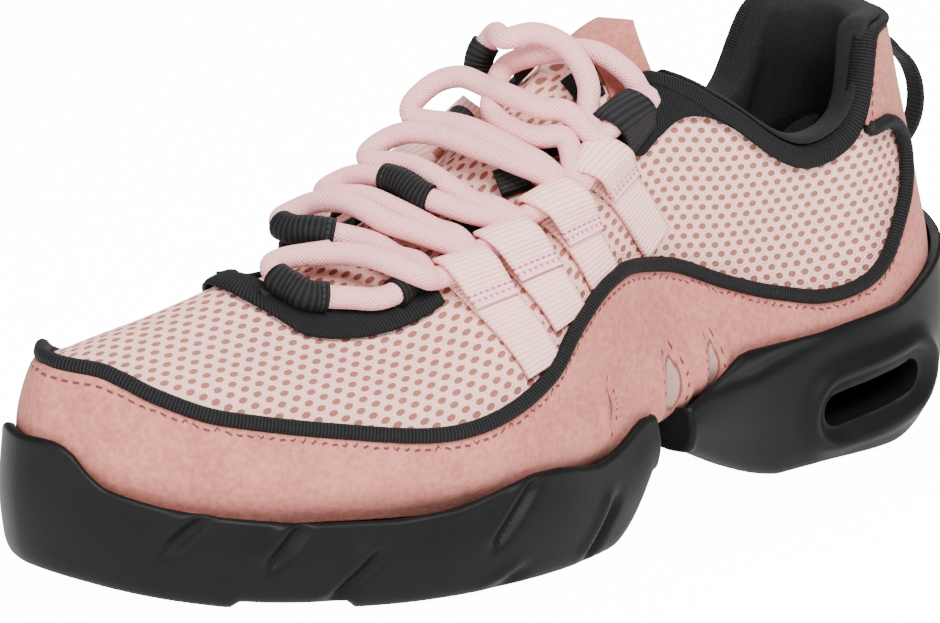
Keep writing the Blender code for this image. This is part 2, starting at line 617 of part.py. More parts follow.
def make_collar_lining():
    around = np.concatenate([mirrored(LINING_STATIONS[:0:-1]), LINING_STATIONS])
    rings = []
    for s in around:
        top = float(topline(s))
        rate = edge_rate(s, top)
        rings.append([skin(s, min(top + t * PADDING / rate, 0.999), n * PADDING) for t, n in LINING_SECTION])
    return close_solid(mesh_object("collar_lining", "black_lining", rings, closed_across=True))


# Black band outside the collar, widening to the patch beside the throat
BAND_COLUMNS = ("station", "lower_rise")
BAND_ROWS = ((2.42, 0.675), (2.7, 0.67), (3.1, 0.685), (3.5, 0.695), (3.9, 0.71), (4.3, 0.72), (4.65, 0.70),
             (4.95, 0.66), (5.25, 0.635), (5.40, 0.665))


def make_collar_band(name, medial):
    stations = np.array([row[0] for row in BAND_ROWS])
    low = np.array([row[1] for row in BAND_ROWS])[:, None]
    rises = low + np.linspace(0, 1, 4) * (topline(stations)[:, None] - low)
    if medial:
        stations = mirrored(stations)
    return sheet(name, "black_webbing", stations[:, None], rises, LIFT, BINDING)


def track(line):
    """A path over the skin: gives the point at a run, an offset across and a height over the skin."""
    line = np.asarray(line, float)
    fine = cubic(np.arange(len(line)), line, np.linspace(0, len(line) - 1, 120))
    points = skin(fine[:, 0], fine[:, 1])
    normals = skin(fine[:, 0], fine[:, 1], 0.001) - points
    normals /= np.linalg.norm(normals, axis=1)[:, None]
    ways = np.gradient(points, axis=0)
    ways /= np.linalg.norm(ways, axis=1)[:, None]
    sides = np.cross(normals, ways)
    reach = np.concatenate([[0], np.cumsum(np.linalg.norm(np.diff(points, axis=0), axis=1))])

    def place(run, across, height):
        point, normal, way, side = (np.array([np.interp(run, reach, part[:, i]) for i in range(3)])
                                    for part in (points, normals, ways, sides))
        beyond = min(run, 0) + max(run - reach[-1], 0)
        return point + beyond * way + across * side + height * normal

    return place, reach[-1]


def ribbon(name, finish_name, line, profile, width, thickness, skew=0.0):
    """Webbing along a path over the skin, following a profile of runs and heights.

    The skew leans its end at the fold, and fades to nothing at the other end.
    """
    place, length = track(line)
    grid = []
    for run, height in profile:
        lean = skew * (1 - max(run, 0) / length)
        grid.append([place(run + lean * width * share, width * share, height) for share in (-0.5, 0, 0.5)])
    return thicken(mesh_object(name, finish_name, grid), thickness, 0)


# Straps: fold beside the throat and lower end at the piping. The fold holds the lace.
STRAP_COLUMNS = ("fold_station", "fold_rise", "low_station", "low_rise")
STRAPS = ((7.18, 0.735, 6.99, 0.445), (6.76, 0.708, 6.56, 0.475), (6.34, 0.683, 6.04, 0.480),
          (5.92, 0.685, 5.12, 0.500))
FOLD_SKEW = 0.42
FLAT = LIFT + WEBBING / 2
LACE_HEIGHT = LIFT + WEBBING + GAP + LACE_RADIUS
LACE_RUN = LACE_RADIUS + GAP
FOLD_TOP = LACE_HEIGHT + LACE_RADIUS + WEBBING / 2 + GAP
FOLD = ((0.0025, FLAT), (0.0006, FLAT), (-0.0008, LACE_HEIGHT - 0.0016),
        (-0.0010, LACE_HEIGHT + 0.0012), (0.0006, FOLD_TOP - 0.0008), (0.0030, FOLD_TOP),
        (0.0055, FOLD_TOP - 0.0004), (0.0085, FOLD_TOP - 0.0030), (0.0115, FLAT + WEBBING + 0.0009),
        (0.0135, FLAT + WEBBING + GAP))


def strap_line(row, medial):
    fold, low = np.array(row[:2]), np.array(row[2:])
    line = np.array([fold + t * (low - fold) for t in (0, 0.35, 0.7, 1)])
    if medial:
        line[:, 0] = mirrored(line[:, 0])
    return line


def make_strap(name, finish_name, row, medial, base=0.0, reach=1.0):
    """A strap and its fold; base lifts it over another layer, reach shortens the folded end."""
    line = strap_line(row, medial)
    length = track(line)[1]
    flat = [(run, FLAT) for run in np.linspace(length, 0.0055, 3 + int(length / 0.012))]
    profile = [(run * (reach if height > FLAT and run > 0.003 else 1), height + base)
               for run, height in flat + list(FOLD)]
    return ribbon(name, finish_name, line, profile, STRAP_WIDTH, WEBBING, -FOLD_SKEW if medial else FOLD_SKEW)


# The black loop at the top, a strap of the same make on the collar band
TOP_LOOP = (5.47, 0.745, 5.26, 0.672)
TOP_LOOP_BASE = BINDING + GAP

# Black tabs under the lace, at its far bends and near the folds: root and tip
TAB_COLUMNS = ("root_station", "root_rise", "tip_station", "tip_rise")
TAB_FOOT = -0.0035        # a tab's underside, just over the tongue
FAR_TAB_TOP, NEAR_TAB_TOP = 0.0010, -0.0002
TAB_WIDTH = 0.0080
FAR_TABS = ((15.98, 0.88, 15.98, 0.955), (16.52, 0.89, 16.52, 0.985), (17.02, 0.88, 17.02, 0.975),
            (17.62, 0.86, 17.62, 0.955), (18.38, 0.80, 18.38, 0.90))
NEAR_TABS = ((6.92, 0.770, 6.86, 0.83), (6.46, 0.755, 6.42, 0.815), (6.06, 0.745, 6.02, 0.79))


def make_tab(name, row, low, high, width):
    """A short doubled tab of black webbing, standing on the tongue."""
    line = [(row[0] + t * (row[2] - row[0]), row[1] + t * (row[3] - row[1])) for t in (0, 0.5, 1)]
    place, length = track(line)
    rings = []
    for run, share in ((0, 0.55), (0.35 * length, 1.0), (0.75 * length, 1.0), (length, 0.6)):
        middle, half = (low + high) / 2, share * (high - low) / 2
        rings.append([place(run, side * width / 2, middle + up * half)
                      for side, up in ((-1, -1), (1, -1), (1, 1), (-1, 1))])
    return close_solid(mesh_object(name, "black_webbing", rings, closed_across=True))


# The lace: each visible strand's route over the skin, as station, rise and height in millimetres
ROUTES = {
    "toe_bar": ((7.85, 0.78, 5), (8.03, 0.79, 5), (8.20, 0.81, 5), (8.32, 0.82, 5), (8.45, 0.83, 5.2),
                (8.57, 0.84, 5.4), (8.65, 0.87, 5.4), (8.70, 0.90, 5.4), (8.65, 0.94, 5.2), (8.50, 0.94, 5),
                (8.32, 0.93, 4.6), (8.12, 0.915, 4.4)),
    "first": ((8.32, 0.93, 4.4), (8.07, 0.90, 4.8), (7.93, 0.87, 6.5), (7.72, 0.855, 6.5), (7.50, 0.83, 6)),
    "second": ((7.50, 0.80, 4.6), (7.62, 0.84, 3), (7.70, 0.88, 3), (7.80, 0.91, 3), (7.95, 0.94, 4),
               (8.10, 0.97, 5), (15.80, 1.0, 5), (15.80, 0.96, 6.5), (15.88, 0.94, 7.5), (16.02, 0.93, 7.5),
               (16.17, 0.94, 7.0), (16.25, 0.97, 6), (7.67, 0.99, 5), (7.62, 0.95, 5), (7.55, 0.90, 5.2),
               (7.42, 0.86, 5.2), (7.27, 0.81, 5.2), (7.15, 0.765, 5.2)),
    "third": ((7.10, 0.78, 5.6), (7.20, 0.82, 4.4), (7.30, 0.87, 4), (7.40, 0.92, 4), (7.50, 0.99, 4),
              (16.37, 0.97, 5.5), (16.36, 0.94, 7), (16.42, 0.92, 8), (16.52, 0.915, 8), (16.64, 0.92, 7.5),
              (16.72, 0.95, 6), (7.22, 1.0, 4), (7.18, 0.96, 4), (7.13, 0.90, 4), (7.02, 0.85, 4.4),
              (6.88, 0.79, 5), (6.76, 0.745, 5.2)),
    "fourth": ((6.70, 0.755, 5.4), (6.80, 0.80, 4.4), (6.88, 0.86, 4), (6.95, 0.93, 4), (7.00, 0.99, 4),
               (16.93, 0.97, 5.5), (16.86, 0.94, 7.5), (16.90, 0.92, 9), (17.02, 0.915, 9.5), (17.16, 0.92, 9),
               (17.26, 0.95, 7.5), (17.34, 0.99, 5), (6.60, 0.95, 4), (6.55, 0.90, 4), (6.45, 0.83, 4.4),
               (6.35, 0.76, 5.2), (6.28, 0.72, 5.2)),
    "fifth": ((6.24, 0.735, 5.4), (6.30, 0.78, 5), (6.38, 0.85, 5), (6.47, 0.94, 5), (6.52, 1.0, 5),
              (17.42, 0.95, 7), (17.40, 0.92, 9.5), (17.48, 0.90, 11), (17.62, 0.895, 11.5), (17.76, 0.90, 11),
              (17.86, 0.93, 9), (17.88, 1.0, 6), (6.10, 0.93, 6), (6.05, 0.87, 6), (5.98, 0.82, 6.2),
               (5.86, 0.79, 6.8)),
    "top_return": ((5.12, 0.745, 5.2), (5.32, 0.82, 8.0), (5.32, 0.86, 6.0), (5.28, 0.89, 4), (5.40, 0.94, 3.4),
                   (5.58, 1.0, 3.2), (18.20, 0.95, 3.2), (17.95, 1.0, 3), (6.22, 0.95, 3), (6.26, 0.89, 3),
                   (6.22, 0.84, 3.4)),
    "top_bar": ((18.20, 0.89, 9.5), (18.33, 0.93, 10.5), (5.75, 1.0, 13), (5.58, 1.0, 11), (5.48, 0.94, 8),
                (5.49, 0.87, 6.6), (5.56, 0.80, 5.8), (5.66, 0.765, 5.4)),
}
# Strand ends at a fold: route, its first (0) or last (-1) end, strap (4 is the top loop), and side
ENDS = (("first", -1, 0, -1), ("second", 0, 0, 1), ("second", -1, 1, -1), ("third", 0, 1, 1),
        ("third", -1, 2, -1), ("fourth", 0, 2, 1), ("fourth", -1, 3, -1), ("fifth", 0, 3, 0),
        ("fifth", -1, 4, -1), ("top_return", 0, 4, 1), ("top_bar", -1, 4, -1))
LACE_STOP = 0.0010 + WEBBING / 2 + LACE_RADIUS + 5 * GAP
LACE_CLEAR = 0.0016


def make_lace():
    """The visible strands, each clear of what it lies over, joined where they cross."""
    folds = [track(strap_line(row, False))[0] for row in (*STRAPS, TOP_LOOP)]
    heights = [LACE_HEIGHT] * len(STRAPS) + [LACE_HEIGHT + TOP_LOOP_BASE]

    def mouth(fold, side):
        """Where a strand stops short of a fold's tip, on its toe side (-1) or heel side (1)."""
        across = side * (LACE_RADIUS + GAP / 2)
        return folds[fold](-LACE_STOP + FOLD_SKEW * across, across, heights[fold])
    routes = {}
    for name, route in ROUTES.items():
        routes[name] = [skin(q, v, h / 1000 + LACE_CLEAR) for q, v, h in route]
    for name, end, fold, side in ENDS:
        near = [mouth(fold, side)]
        routes[name] = near + routes[name][1:] if end == 0 else routes[name][:-1] + near
    lace = None
    for name, points in routes.items():
        way = spaced(points, 3 + int(len(points) * 0.65))
        cord = tube(f"strand_{name}", "pink_lace", way, LACE_RADIUS, 1)
        bpy.context.view_layer.update()
        mesh = bpy.data.meshes.new_from_object(cord.evaluated_get(bpy.context.evaluated_depsgraph_get()))
        work = bmesh.new()
        work.from_mesh(mesh)
        bmesh.ops.remove_doubles(work, verts=work.verts[:], dist=1e-6)
        bmesh.ops.recalc_face_normals(work, faces=work.faces[:])
        work.to_mesh(mesh)
        work.free()
        bpy.data.objects.remove(cord, do_unlink=True)
        strand = bpy.data.objects.new("lace" if lace is None else f"lace_strand_{name}", mesh)
        if lace is None:
            lace = strand
            shoe.objects.link(lace)
            lace.parent = stand
        else:
            cutters.objects.link(strand)
            boolean(lace, strand, "UNION")
            lace.modifiers[-1].use_self = True
    return lace


# Pull loop behind the heel: distance ahead of the heel's back in percent of LENGTH, and height
# over the ground in percent of INSTEP_HEIGHT
LOOP_COLUMNS = ("ahead", "height")
LOOP_ROOT, LOOP_FOOT = 86.0, 50.8
LOOP_POINTS = ((1.35, 82.4), (0.2, 80.0), (-1.4, 76.8), (-2.6, 72.4), (-3.05, 67.4),
               (-2.65, 62.7), (-1.5, 59.1), (-0.2, 57.0), (0.45, 54.8))
LOOP_WIDTH = 0.0055


def make_pull_loop():
    y = -2.5 * PER_WIDTH
    line = [skin(0, rise_at(0, LOOP_ROOT * PER_HEIGHT), LIFT + SUEDE + LIFT + WEBBING / 2)]
    line += [np.array([x * PER_LENGTH - LENGTH / 2, y, z * PER_HEIGHT]) for x, z in LOOP_POINTS]
    line.append(skin(0, rise_at(0, LOOP_FOOT * PER_HEIGHT), LIFT + SUEDE + LIFT + WEBBING / 2))
    grid = [[point + np.array([0, side * LOOP_WIDTH / 2, 0]) for side in (-1, 0, 1)] for point in line]
    return thicken(mesh_object("pull_loop", "black_webbing", grid), WEBBING, 0)


LABEL = 0.0008


def make_label():
    """The woven patch on the tongue, left plain."""
    stations = np.linspace(5.32, 5.62, 3)
    rises = np.linspace(0.80, 0.93, 4)
    lift = -(WALL + 2 * LIFT) + GAP
    return sheet("tongue_label", "black_webbing", stations[:, None], rises[None], lift, LABEL)


for build in (make_upper, make_toe_sole, make_heel_sole, make_insole, make_suede, make_piping, make_tongue,
              make_throat_binding, make_collar_lining, make_pull_loop, make_label):
    build()
make_collar_band("collar_band_outer", False)
make_collar_band("collar_band_inner", True)
for number, row in enumerate(STRAPS):
    make_strap(f"strap_outer_{number + 1}", "pink_webbing", row, False)
    make_strap(f"strap_inner_{number + 1}", "pink_webbing", row, True)
make_lace()
make_strap("top_loop", "black_webbing", TOP_LOOP, False, TOP_LOOP_BASE, 0.75)
for number, row in enumerate(FAR_TABS):
    make_tab(f"far_tab_{number + 1}", row, TAB_FOOT, FAR_TAB_TOP, TAB_WIDTH)
for number, row in enumerate(NEAR_TABS):
    make_tab(f"near_tab_{number + 1}", row, TAB_FOOT + 0.0001, NEAR_TAB_TOP, TAB_WIDTH)

# The frame's origin lies on the ground under the middle of the shoe's outline
bpy.context.view_layer.update()
graph = bpy.context.evaluated_depsgraph_get()
low, high = Vector((9, 9, 9)), Vector((-9, -9, -9))
for piece in shoe.objects:
    if piece.type in {"MESH", "CURVE"}:
        solid = piece.evaluated_get(graph).to_mesh()
        for corner in solid.vertices:
            low = Vector(map(min, low, corner.co))
            high = Vector(map(max, high, corner.co))
        piece.evaluated_get(graph).to_mesh_clear()
stand.location = (-(low.x + high.x) / 2, -(low.y + high.y) / 2, -low.z)
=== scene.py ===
"""Studio picture of a pink mesh and suede dance sneaker with a split black sole."""

import math

import bpy
import numpy as np
from mathutils import Matrix, Vector


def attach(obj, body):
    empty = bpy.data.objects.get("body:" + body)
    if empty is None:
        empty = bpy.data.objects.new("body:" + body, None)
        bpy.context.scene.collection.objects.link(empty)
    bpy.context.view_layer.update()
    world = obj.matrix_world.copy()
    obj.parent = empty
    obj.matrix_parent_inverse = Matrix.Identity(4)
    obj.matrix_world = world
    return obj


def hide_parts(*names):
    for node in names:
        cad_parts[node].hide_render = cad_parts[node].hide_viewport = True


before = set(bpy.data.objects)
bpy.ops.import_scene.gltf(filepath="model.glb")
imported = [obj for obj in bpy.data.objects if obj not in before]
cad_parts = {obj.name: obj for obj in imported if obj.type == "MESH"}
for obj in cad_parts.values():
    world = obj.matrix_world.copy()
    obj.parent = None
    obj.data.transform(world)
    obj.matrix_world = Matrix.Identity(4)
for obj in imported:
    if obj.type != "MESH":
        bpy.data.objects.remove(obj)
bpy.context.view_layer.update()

# Upper. One piece of spacer mesh, pale pink, stretched over the last and cut away at the ankle and
# the throat. Its open holes stand in offset rows, painted a darker, browner pink: partly the lower
# layer's own colour and partly painted shade inside the holes.
LENGTH, BALL_WIDTH, INSTEP_HEIGHT, HEEL_SEAT = 0.270, 0.101, 0.118, 0.030
PER_LENGTH, PER_WIDTH, PER_HEIGHT, PER_SEAT = LENGTH / 100, BALL_WIDTH / 100, INSTEP_HEIGHT / 100, HEEL_SEAT / 100
WALL, SUEDE, BINDING, WEBBING, LIFT, GAP = 0.0022, 0.0010, 0.0010, 0.0012, 0.0009, 0.0003
SHIFT = np.array([0.004345, 0.001076, 0.0])
LAST_ROWS = (
    (1.5, -2.5, -2.5, 14.8, -2.5, 100, 13.5, 30.5, 53.5, 74.5, 0.87, 0.92, 0.78, 0.78, 0.64),
    (3.0, 17.0, -22.0, 14.8, -2.5, 100, 11.0, 30.5, 53.5, 74.5, 0.85, 0.90, 0.74, 0.74, 0.60),
    (10.7, 27.0, -32.0, 14.8, -2.5, 97, 7.6, 24.6, 53.5, 75.5, 0.82, 0.87, 0.80, 0.80, 0.66),
    (20.4, 27.0, -32.0, 20.4, -2.5, 92, 8.0, 21.6, 46.0, 76.5, 0.80, 0.84, 0.79, 0.79, 0.66),
    (29.6, 27.0, -30.0, 29.6, -2.5, 83, 9.3, 24.6, 56.8, 79.5, 0.76, 0.83, 0.78, 0.80, 0.50),
    (38.9, 31.0, -28.0, 38.9, -3.5, 73, 8.5, 30.5, 66.0, 81.4, 0.80, 0.78, 0.62, 0.72, 0.22),
    (48.1, 38.0, -32.0, 48.1, -6.0, 63, 8.5, 34.7, 61.9, 71.2, 0.85, 0.84, 0.50, 0.62, 0.00),
    (58.1, 44.0, -40.0, 58.1, -9.0, 58, 9.7, 26.7, 45.3, 58.0, 0.86, 0.90, 0.48, 0.62, 0.00),
    (67.8, 42.5, -45.5, 67.8, -12.0, 58, 9.7, 20.8, 33.5, 48.7, 0.87, 0.93, 0.52, 0.60, 0.00),
    (78.1, 33.5, -46.0, 77.4, -14.0, 62, 10.6, 20.8, 31.8, 41.1, 0.88, 0.87, 0.50, 0.55, 0.00),
    (88.5, 21.5, -39.5, 83.3, -15.5, 70, 11.0, 22.0, 29.7, 35.6, 0.88, 0.85, 0.55, 0.55, 0.00),
    (95.2, 4.5, -30.0, 85.6, -16.0, 80, 11.9, 23.7, 28.0, 31.8, 0.88, 0.87, 0.62, 0.62, 0.00),
    (98.0, -14.0, -14.0, 85.6, -16.0, 83, 12.7, 23.7, 27.5, 31.0, 0.88, 0.95, 0.74, 0.74, 0.00),
)
TIP, RING = 12, 24
PROFILE_STOPS = np.array([0.0, 0.2, 0.42, 0.72, 1.0])


def eased(t, span, low, high, low_slope, high_slope):
    """One span between two rows that leaves and arrives at the given slopes."""
    return ((2 * t ** 3 - 3 * t ** 2 + 1) * low + (t ** 3 - 2 * t ** 2 + t) * span * low_slope
            + (3 * t ** 2 - 2 * t ** 3) * high + (t ** 3 - t ** 2) * span * high_slope)


def cubic(stops, rows, at):
    """A smooth curve through a table's rows."""
    stops, rows, at = (np.asarray(part, float) for part in (stops, rows, at))
    wide = (-1,) + (1,) * (rows.ndim - 1)
    step = np.diff(stops)
    slope = np.diff(rows, axis=0) / step.reshape(wide)
    weight = (step[1:] / (step[1:] + step[:-1])).reshape(wide)
    slopes = np.concatenate([slope[:1], weight * slope[:-1] + (1 - weight) * slope[1:], slope[-1:]])
    low = np.clip(np.searchsorted(stops, at, side="right") - 1, 0, len(stops) - 2)
    grow = at.shape + (1,) * (rows.ndim - 1)
    t, span = ((at - stops[low]) / step[low]).reshape(grow), step[low].reshape(grow)
    return eased(t, span, rows[low], rows[low + 1], slopes[low], slopes[low + 1])


last_table = np.array(LAST_ROWS, float)
outer_side, inner_side = np.delete(last_table, (2, 13), 1), np.delete(last_table, (1, 12), 1)
last_ring = np.concatenate([outer_side, inner_side[-2:0:-1]])
ring_step = np.hypot(np.diff(last_table[:, 0] * PER_LENGTH),
                     np.diff((last_table[:, 1] - last_table[:, 2]) / 2 * PER_WIDTH))
ring_stops = np.concatenate([[0.0], np.cumsum(np.concatenate([ring_step, ring_step[::-1]]))])
rows_around = np.vstack([last_ring] * 3)
stops_around = np.concatenate([ring_stops[:-1] - ring_stops[-1], ring_stops[:-1], ring_stops[:-1] + ring_stops[-1]])


def section(station):
    """Outline, spine, heights and shares of the last at a station, 0 at the heel and TIP at the toe."""
    station = np.asarray(station, float) % RING
    row = cubic(stops_around, rows_around, np.interp(station, np.arange(RING + 1), ring_stops))
    outline = np.stack([row[..., 0] * PER_LENGTH - LENGTH / 2, row[..., 1] * PER_WIDTH], -1)
    spine = np.stack([row[..., 2] * PER_LENGTH - LENGTH / 2, row[..., 3] * PER_WIDTH], -1)
    seat = row[..., 4] * PER_SEAT
    heights = np.concatenate([seat[..., None], seat[..., None] + row[..., 5:9] * PER_HEIGHT], -1)
    shares = np.stack([row[..., 9], np.ones_like(seat), row[..., 10], row[..., 11],
                       np.maximum(row[..., 12], 0)], -1)
    return outline, spine, heights, shares


def on_last(station, rise):
    """A point of the last's skin, from the seat (rise 0) to the crest (rise 1)."""
    station, rise = np.broadcast_arrays(np.asarray(station, float), np.asarray(rise, float))
    outline, spine, heights, shares = section(station.reshape(-1))
    plan = spine[:, None] + shares[..., None] * (outline - spine)[:, None]
    cage = np.concatenate([plan, heights[..., None]], -1)
    step = np.diff(PROFILE_STOPS)
    slope = np.diff(cage, axis=1) / step[None, :, None]
    weight = (step[1:] / (step[1:] + step[:-1]))[None, :, None]
    slopes = np.concatenate([slope[:, :1], weight * slope[:, :-1] + (1 - weight) * slope[:, 1:], slope[:, -1:]], 1)
    slopes[:, 4, 2] *= np.clip(shares[:, 4] / 0.3, 0, 1)
    flat = rise.reshape(-1)
    low = np.clip(np.searchsorted(PROFILE_STOPS, flat, side="right") - 1, 0, 3)
    each = np.arange(len(flat))
    t, span = ((flat - PROFILE_STOPS[low]) / step[low])[:, None], step[low][:, None]
    point = eased(t, span, cage[each, low], cage[each, low + 1], slopes[each, low], slopes[each, low + 1])
    return point.reshape(station.shape + (3,))


def skin(station, rise, lift=0.0):
    """A point at a height over the last's skin, along its normal."""
    station, rise, lift = np.broadcast_arrays(*(np.asarray(a, float) for a in (station, rise, lift)))
    around = on_last(station + 0.002, rise) - on_last(station - 0.002, rise)
    up = on_last(station, np.minimum(rise + 0.002, 1)) - on_last(station, np.maximum(rise - 0.002, 0))
    normal = np.cross(up, around)
    size = np.linalg.norm(normal, axis=-1, keepdims=True)
    normal = np.where(size > 1e-12, normal / np.maximum(size, 1e-12), (0.0, 0.0, 1.0))
    return on_last(station, rise) + lift[..., None] * normal


def cut_cloth(station, rise):
    """Flat place of a skin point on the cloth: along the shoe, and round the foot from the crest."""
    station, rise = np.broadcast_arrays(np.asarray(station, float), np.asarray(rise, float))
    steps = np.linspace(0, 1, 33)
    walk = on_last(station[..., None], 1 - (1 - rise[..., None]) * steps)
    move = np.diff(walk, axis=-2)
    near = station % RING
    side = np.where(near <= TIP, 1.0, -1.0)
    toward = np.clip((TIP - np.minimum(near, RING - near)) / 3.0, 0, 1)
    fall = toward * toward * (3 - 2 * toward)
    girth = np.sqrt(move[..., 1] ** 2 + (fall[..., None] * move[..., 2]) ** 2).sum(-1)
    return np.stack([walk[..., -1, 0], side * girth], -1)


TOPLINE = ((0, 0.885), (1.0, 0.885), (1.98, 0.885), (2.1, 0.85), (2.2, 0.79), (2.3, 0.73), (2.42, 0.705),
           (2.6, 0.70), (2.9, 0.71), (3.2, 0.72), (3.5, 0.73), (3.8, 0.745), (4.1, 0.765), (4.4, 0.785),
           (4.95, 0.81), (5.3, 0.745), (5.65, 0.69), (6.1, 0.70), (6.5, 0.71), (6.9, 0.735),
           (7.3, 0.765), (7.8, 0.785), (8.1, 0.80), (8.4, 0.825), (8.6, 0.86), (8.75, 0.91), (8.85, 1.0))


def topline(station):
    station = np.asarray(station, float) % RING
    return np.interp(np.where(station > TIP, RING - station, station), *zip(*TOPLINE))


def laid_grid(name, points, flat=None):
    """A grid through rows of points, with its flat cut as the UV map."""
    bpy.ops.object.select_all(action="DESELECT")
    rows, columns = points.shape[:2]
    bpy.ops.mesh.primitive_grid_add(x_subdivisions=columns - 1, y_subdivisions=rows - 1, size=1)
    piece = bpy.context.object
    piece.name = piece.data.name = name
    mesh = piece.data
    mesh.vertices.foreach_set("co", (points + SHIFT).reshape(-1).astype(np.float32))
    if flat is not None:
        corners = np.empty(len(mesh.loops), np.int32)
        mesh.loops.foreach_get("vertex_index", corners)
        mesh.uv_layers[0].data.foreach_set("uv", flat.reshape(-1, 2)[corners].reshape(-1).astype(np.float32))
    mesh.update()
    return piece


def welded(threshold, holes=None, outward=True):
    """Joins the active piece's doubled corners, closes its holes and turns its faces out."""
    bpy.ops.object.mode_set(mode="EDIT")
    bpy.ops.mesh.select_all(action="SELECT")
    bpy.ops.mesh.remove_doubles(threshold=threshold)
    if holes is not None:
        bpy.ops.mesh.fill_holes(sides=holes)
        bpy.ops.mesh.select_all(action="SELECT")
    if outward:
        bpy.ops.mesh.normals_make_consistent(inside=False)
    bpy.ops.object.mode_set(mode="OBJECT")


def laid_cloth(name, points, flat, closed=False):
    """A grid of cloth over the last whose faces look away from the foot."""
    i, j = points.shape[0] // 2, points.shape[1] // 2
    corner = points[i, j]
    turn = np.cross(points[i, j + 1] - corner, points[i + 1, j] - corner)
    if turn @ (corner - np.array([corner[0] * 0.8, -0.004, 0.045])) < 0:
        points, flat = points[:, ::-1], flat[:, ::-1]
    cloth = laid_grid(name, points, flat)
    if closed:
        welded(0.00002, outward=False)
    bpy.ops.object.shade_smooth()
    return cloth


def declared(piece, node=None, finish=None):
    """Gives a piece its finish and says what it stands for."""
    if finish:
        piece.data.materials.append(finish)
    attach(piece, "root")
    if node:
        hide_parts(node)


def give_wall(piece, thickness, offset):
    """Gives a sheet its thickness."""
    wall = piece.modifiers.new("wall", "SOLIDIFY")
    wall.thickness = thickness
    wall.offset = offset
    wall.use_even_offset = True
    bpy.context.view_layer.objects.active = piece
    bpy.ops.object.modifier_apply(modifier=wall.name)
    return piece


class Sum:
    """A socket that can be added, multiplied and compared in an expression."""

    def __init__(self, tree, socket):
        self.tree, self.socket = tree, socket

    def node(self, kind, values, settings=None, output=0):
        made = self.tree.nodes.new(kind)
        for key, value in (settings or {}).items():
            setattr(made, key, value)
        for key, value in values.items():
            if isinstance(value, Sum):
                self.tree.links.new(value.socket, made.inputs[key])
            elif value is not None:
                made.inputs[key].default_value = value
        return Sum(self.tree, made.outputs[output])

    def math(self, operation, other=0.0, flip=False):
        first, second = (other, self) if flip else (self, other)
        return self.node("ShaderNodeMath", {0: first, 1: second}, {"operation": operation})

    def __add__(self, other):
        return self.math("ADD", other)

    __radd__ = __add__

    def __mul__(self, other):
        return self.math("MULTIPLY", other)

    __rmul__ = __mul__

    def __sub__(self, other):
        return self.math("SUBTRACT", other)

    def __rsub__(self, other):
        return self.math("SUBTRACT", other, flip=True)

    def __truediv__(self, other):
        return self.math("DIVIDE", other)

    def __pow__(self, other):
        return self.math("POWER", other)

    def between(self, low, high):
        """0 below low and 1 above high, smoothly."""
        return self.node("ShaderNodeMapRange", {"Value": self, "From Min": low, "From Max": high},
                         {"interpolation_type": "SMOOTHSTEP"})

    def fraction(self):
        return self.math("FRACT")

    def sine(self):
        return self.math("SINE")

    def absolute(self):
        return self.math("ABSOLUTE")

    def around(self, at, low, high):
        """1 within low of a value and 0 beyond high."""
        return 1.0 - (self - at).absolute().between(low, high)

    def mixed(self, first, second):
        """Colour first where this is 0 and second where it is 1."""
        return self.node("ShaderNodeMix", {0: self, 6: first, 7: second}, {"data_type": "RGBA"}, output=2)


def new_finish(name):
    """A material, its tree as a Sum and its Principled shader."""
    made = bpy.data.materials.new(name)
    made.use_nodes = True
    shader = made.node_tree.nodes["Principled BSDF"]
    return made, Sum(made.node_tree, None), shader


def wire(start, shader, values):
    for key, value in values.items():
        if isinstance(value, Sum):
            start.tree.links.new(value.socket, shader.inputs[key])
        else:
            shader.inputs[key].default_value = value


def flat_cut(start):
    """The two directions of the cloth's flat cut, in millimetres."""
    uv = start.node("ShaderNodeUVMap", {}, {"uv_map": "UVMap"})
    parts = start.node("ShaderNodeSeparateXYZ", {0: uv})
    other = Sum(start.tree, parts.socket.node.outputs[1])
    return parts * 1000.0, other * 1000.0


def speckle(start, scale, detail=2.0):
    where = start.node("ShaderNodeTexCoord", {}, output=3)
    return start.node("ShaderNodeTexNoise", {"Vector": where, "Scale": scale, "Detail": detail, "Roughness": 0.6})


def mesh_cloth(name, pale, hole_layer_and_shade, across=4.2, along=4.9):
    """Open spacer mesh: two offset sets of oval holes in a slightly furry knit, the holes darker (lower layer and
    painted shade) and their raised rims lighter (painted highlight).
    """
    made, start, shader = new_finish(name)
    x, y = flat_cut(start)

    def holes(dx, dy):
        cell_x = (x / across + dx).fraction() - 0.5
        cell_y = (y / along + dy).fraction() - 0.5
        reach = (cell_x * across / 1.12) ** 2.0 + (cell_y * along / 0.74) ** 2.0
        return 1.0 - reach.between(0.7, 1.3), reach.around(2.3, 0.3, 1.3)

    (hole_a, rim_a), (hole_b, rim_b) = holes(0.0, 0.0), holes(0.5, 0.5)
    open_holes, rims = hole_a + hole_b, rim_a + rim_b
    yarn = (x * (2 * math.pi / 0.5)).sine() * (y * (2 * math.pi / 0.45)).sine()
    nap = speckle(start, 900.0, 3.0)
    broad = speckle(start, 60.0, 2.0)
    # Painted shade: the holes take the darker colour, for the lower layer and the shade inside them.
    tone = open_holes.mixed(pale, hole_layer_and_shade)
    # The rims add a painted highlight on the raised ring round each hole; nap and broad are random tone.
    shade = (nap * 0.2 + broad * 0.15 + rims * 0.08 + 0.80).math("MINIMUM", 1.0)
    colour = start.node("ShaderNodeMix", {0: 1.0, 6: tone, 7: shade_colour(start, shade)},
                        {"data_type": "RGBA", "blend_type": "MULTIPLY"}, output=2)
    height = (1.0 - open_holes) * 0.9 + rims * 0.35 + nap * 0.2 + yarn * 0.08
    bump = start.node("ShaderNodeBump", {"Height": height, "Distance": 0.0007, "Strength": 0.8})
    wire(start, shader, {"Base Color": colour, "Roughness": 0.85, "Normal": bump,
                         "Sheen Weight": 0.04, "Specular IOR Level": 0.15})
    return made


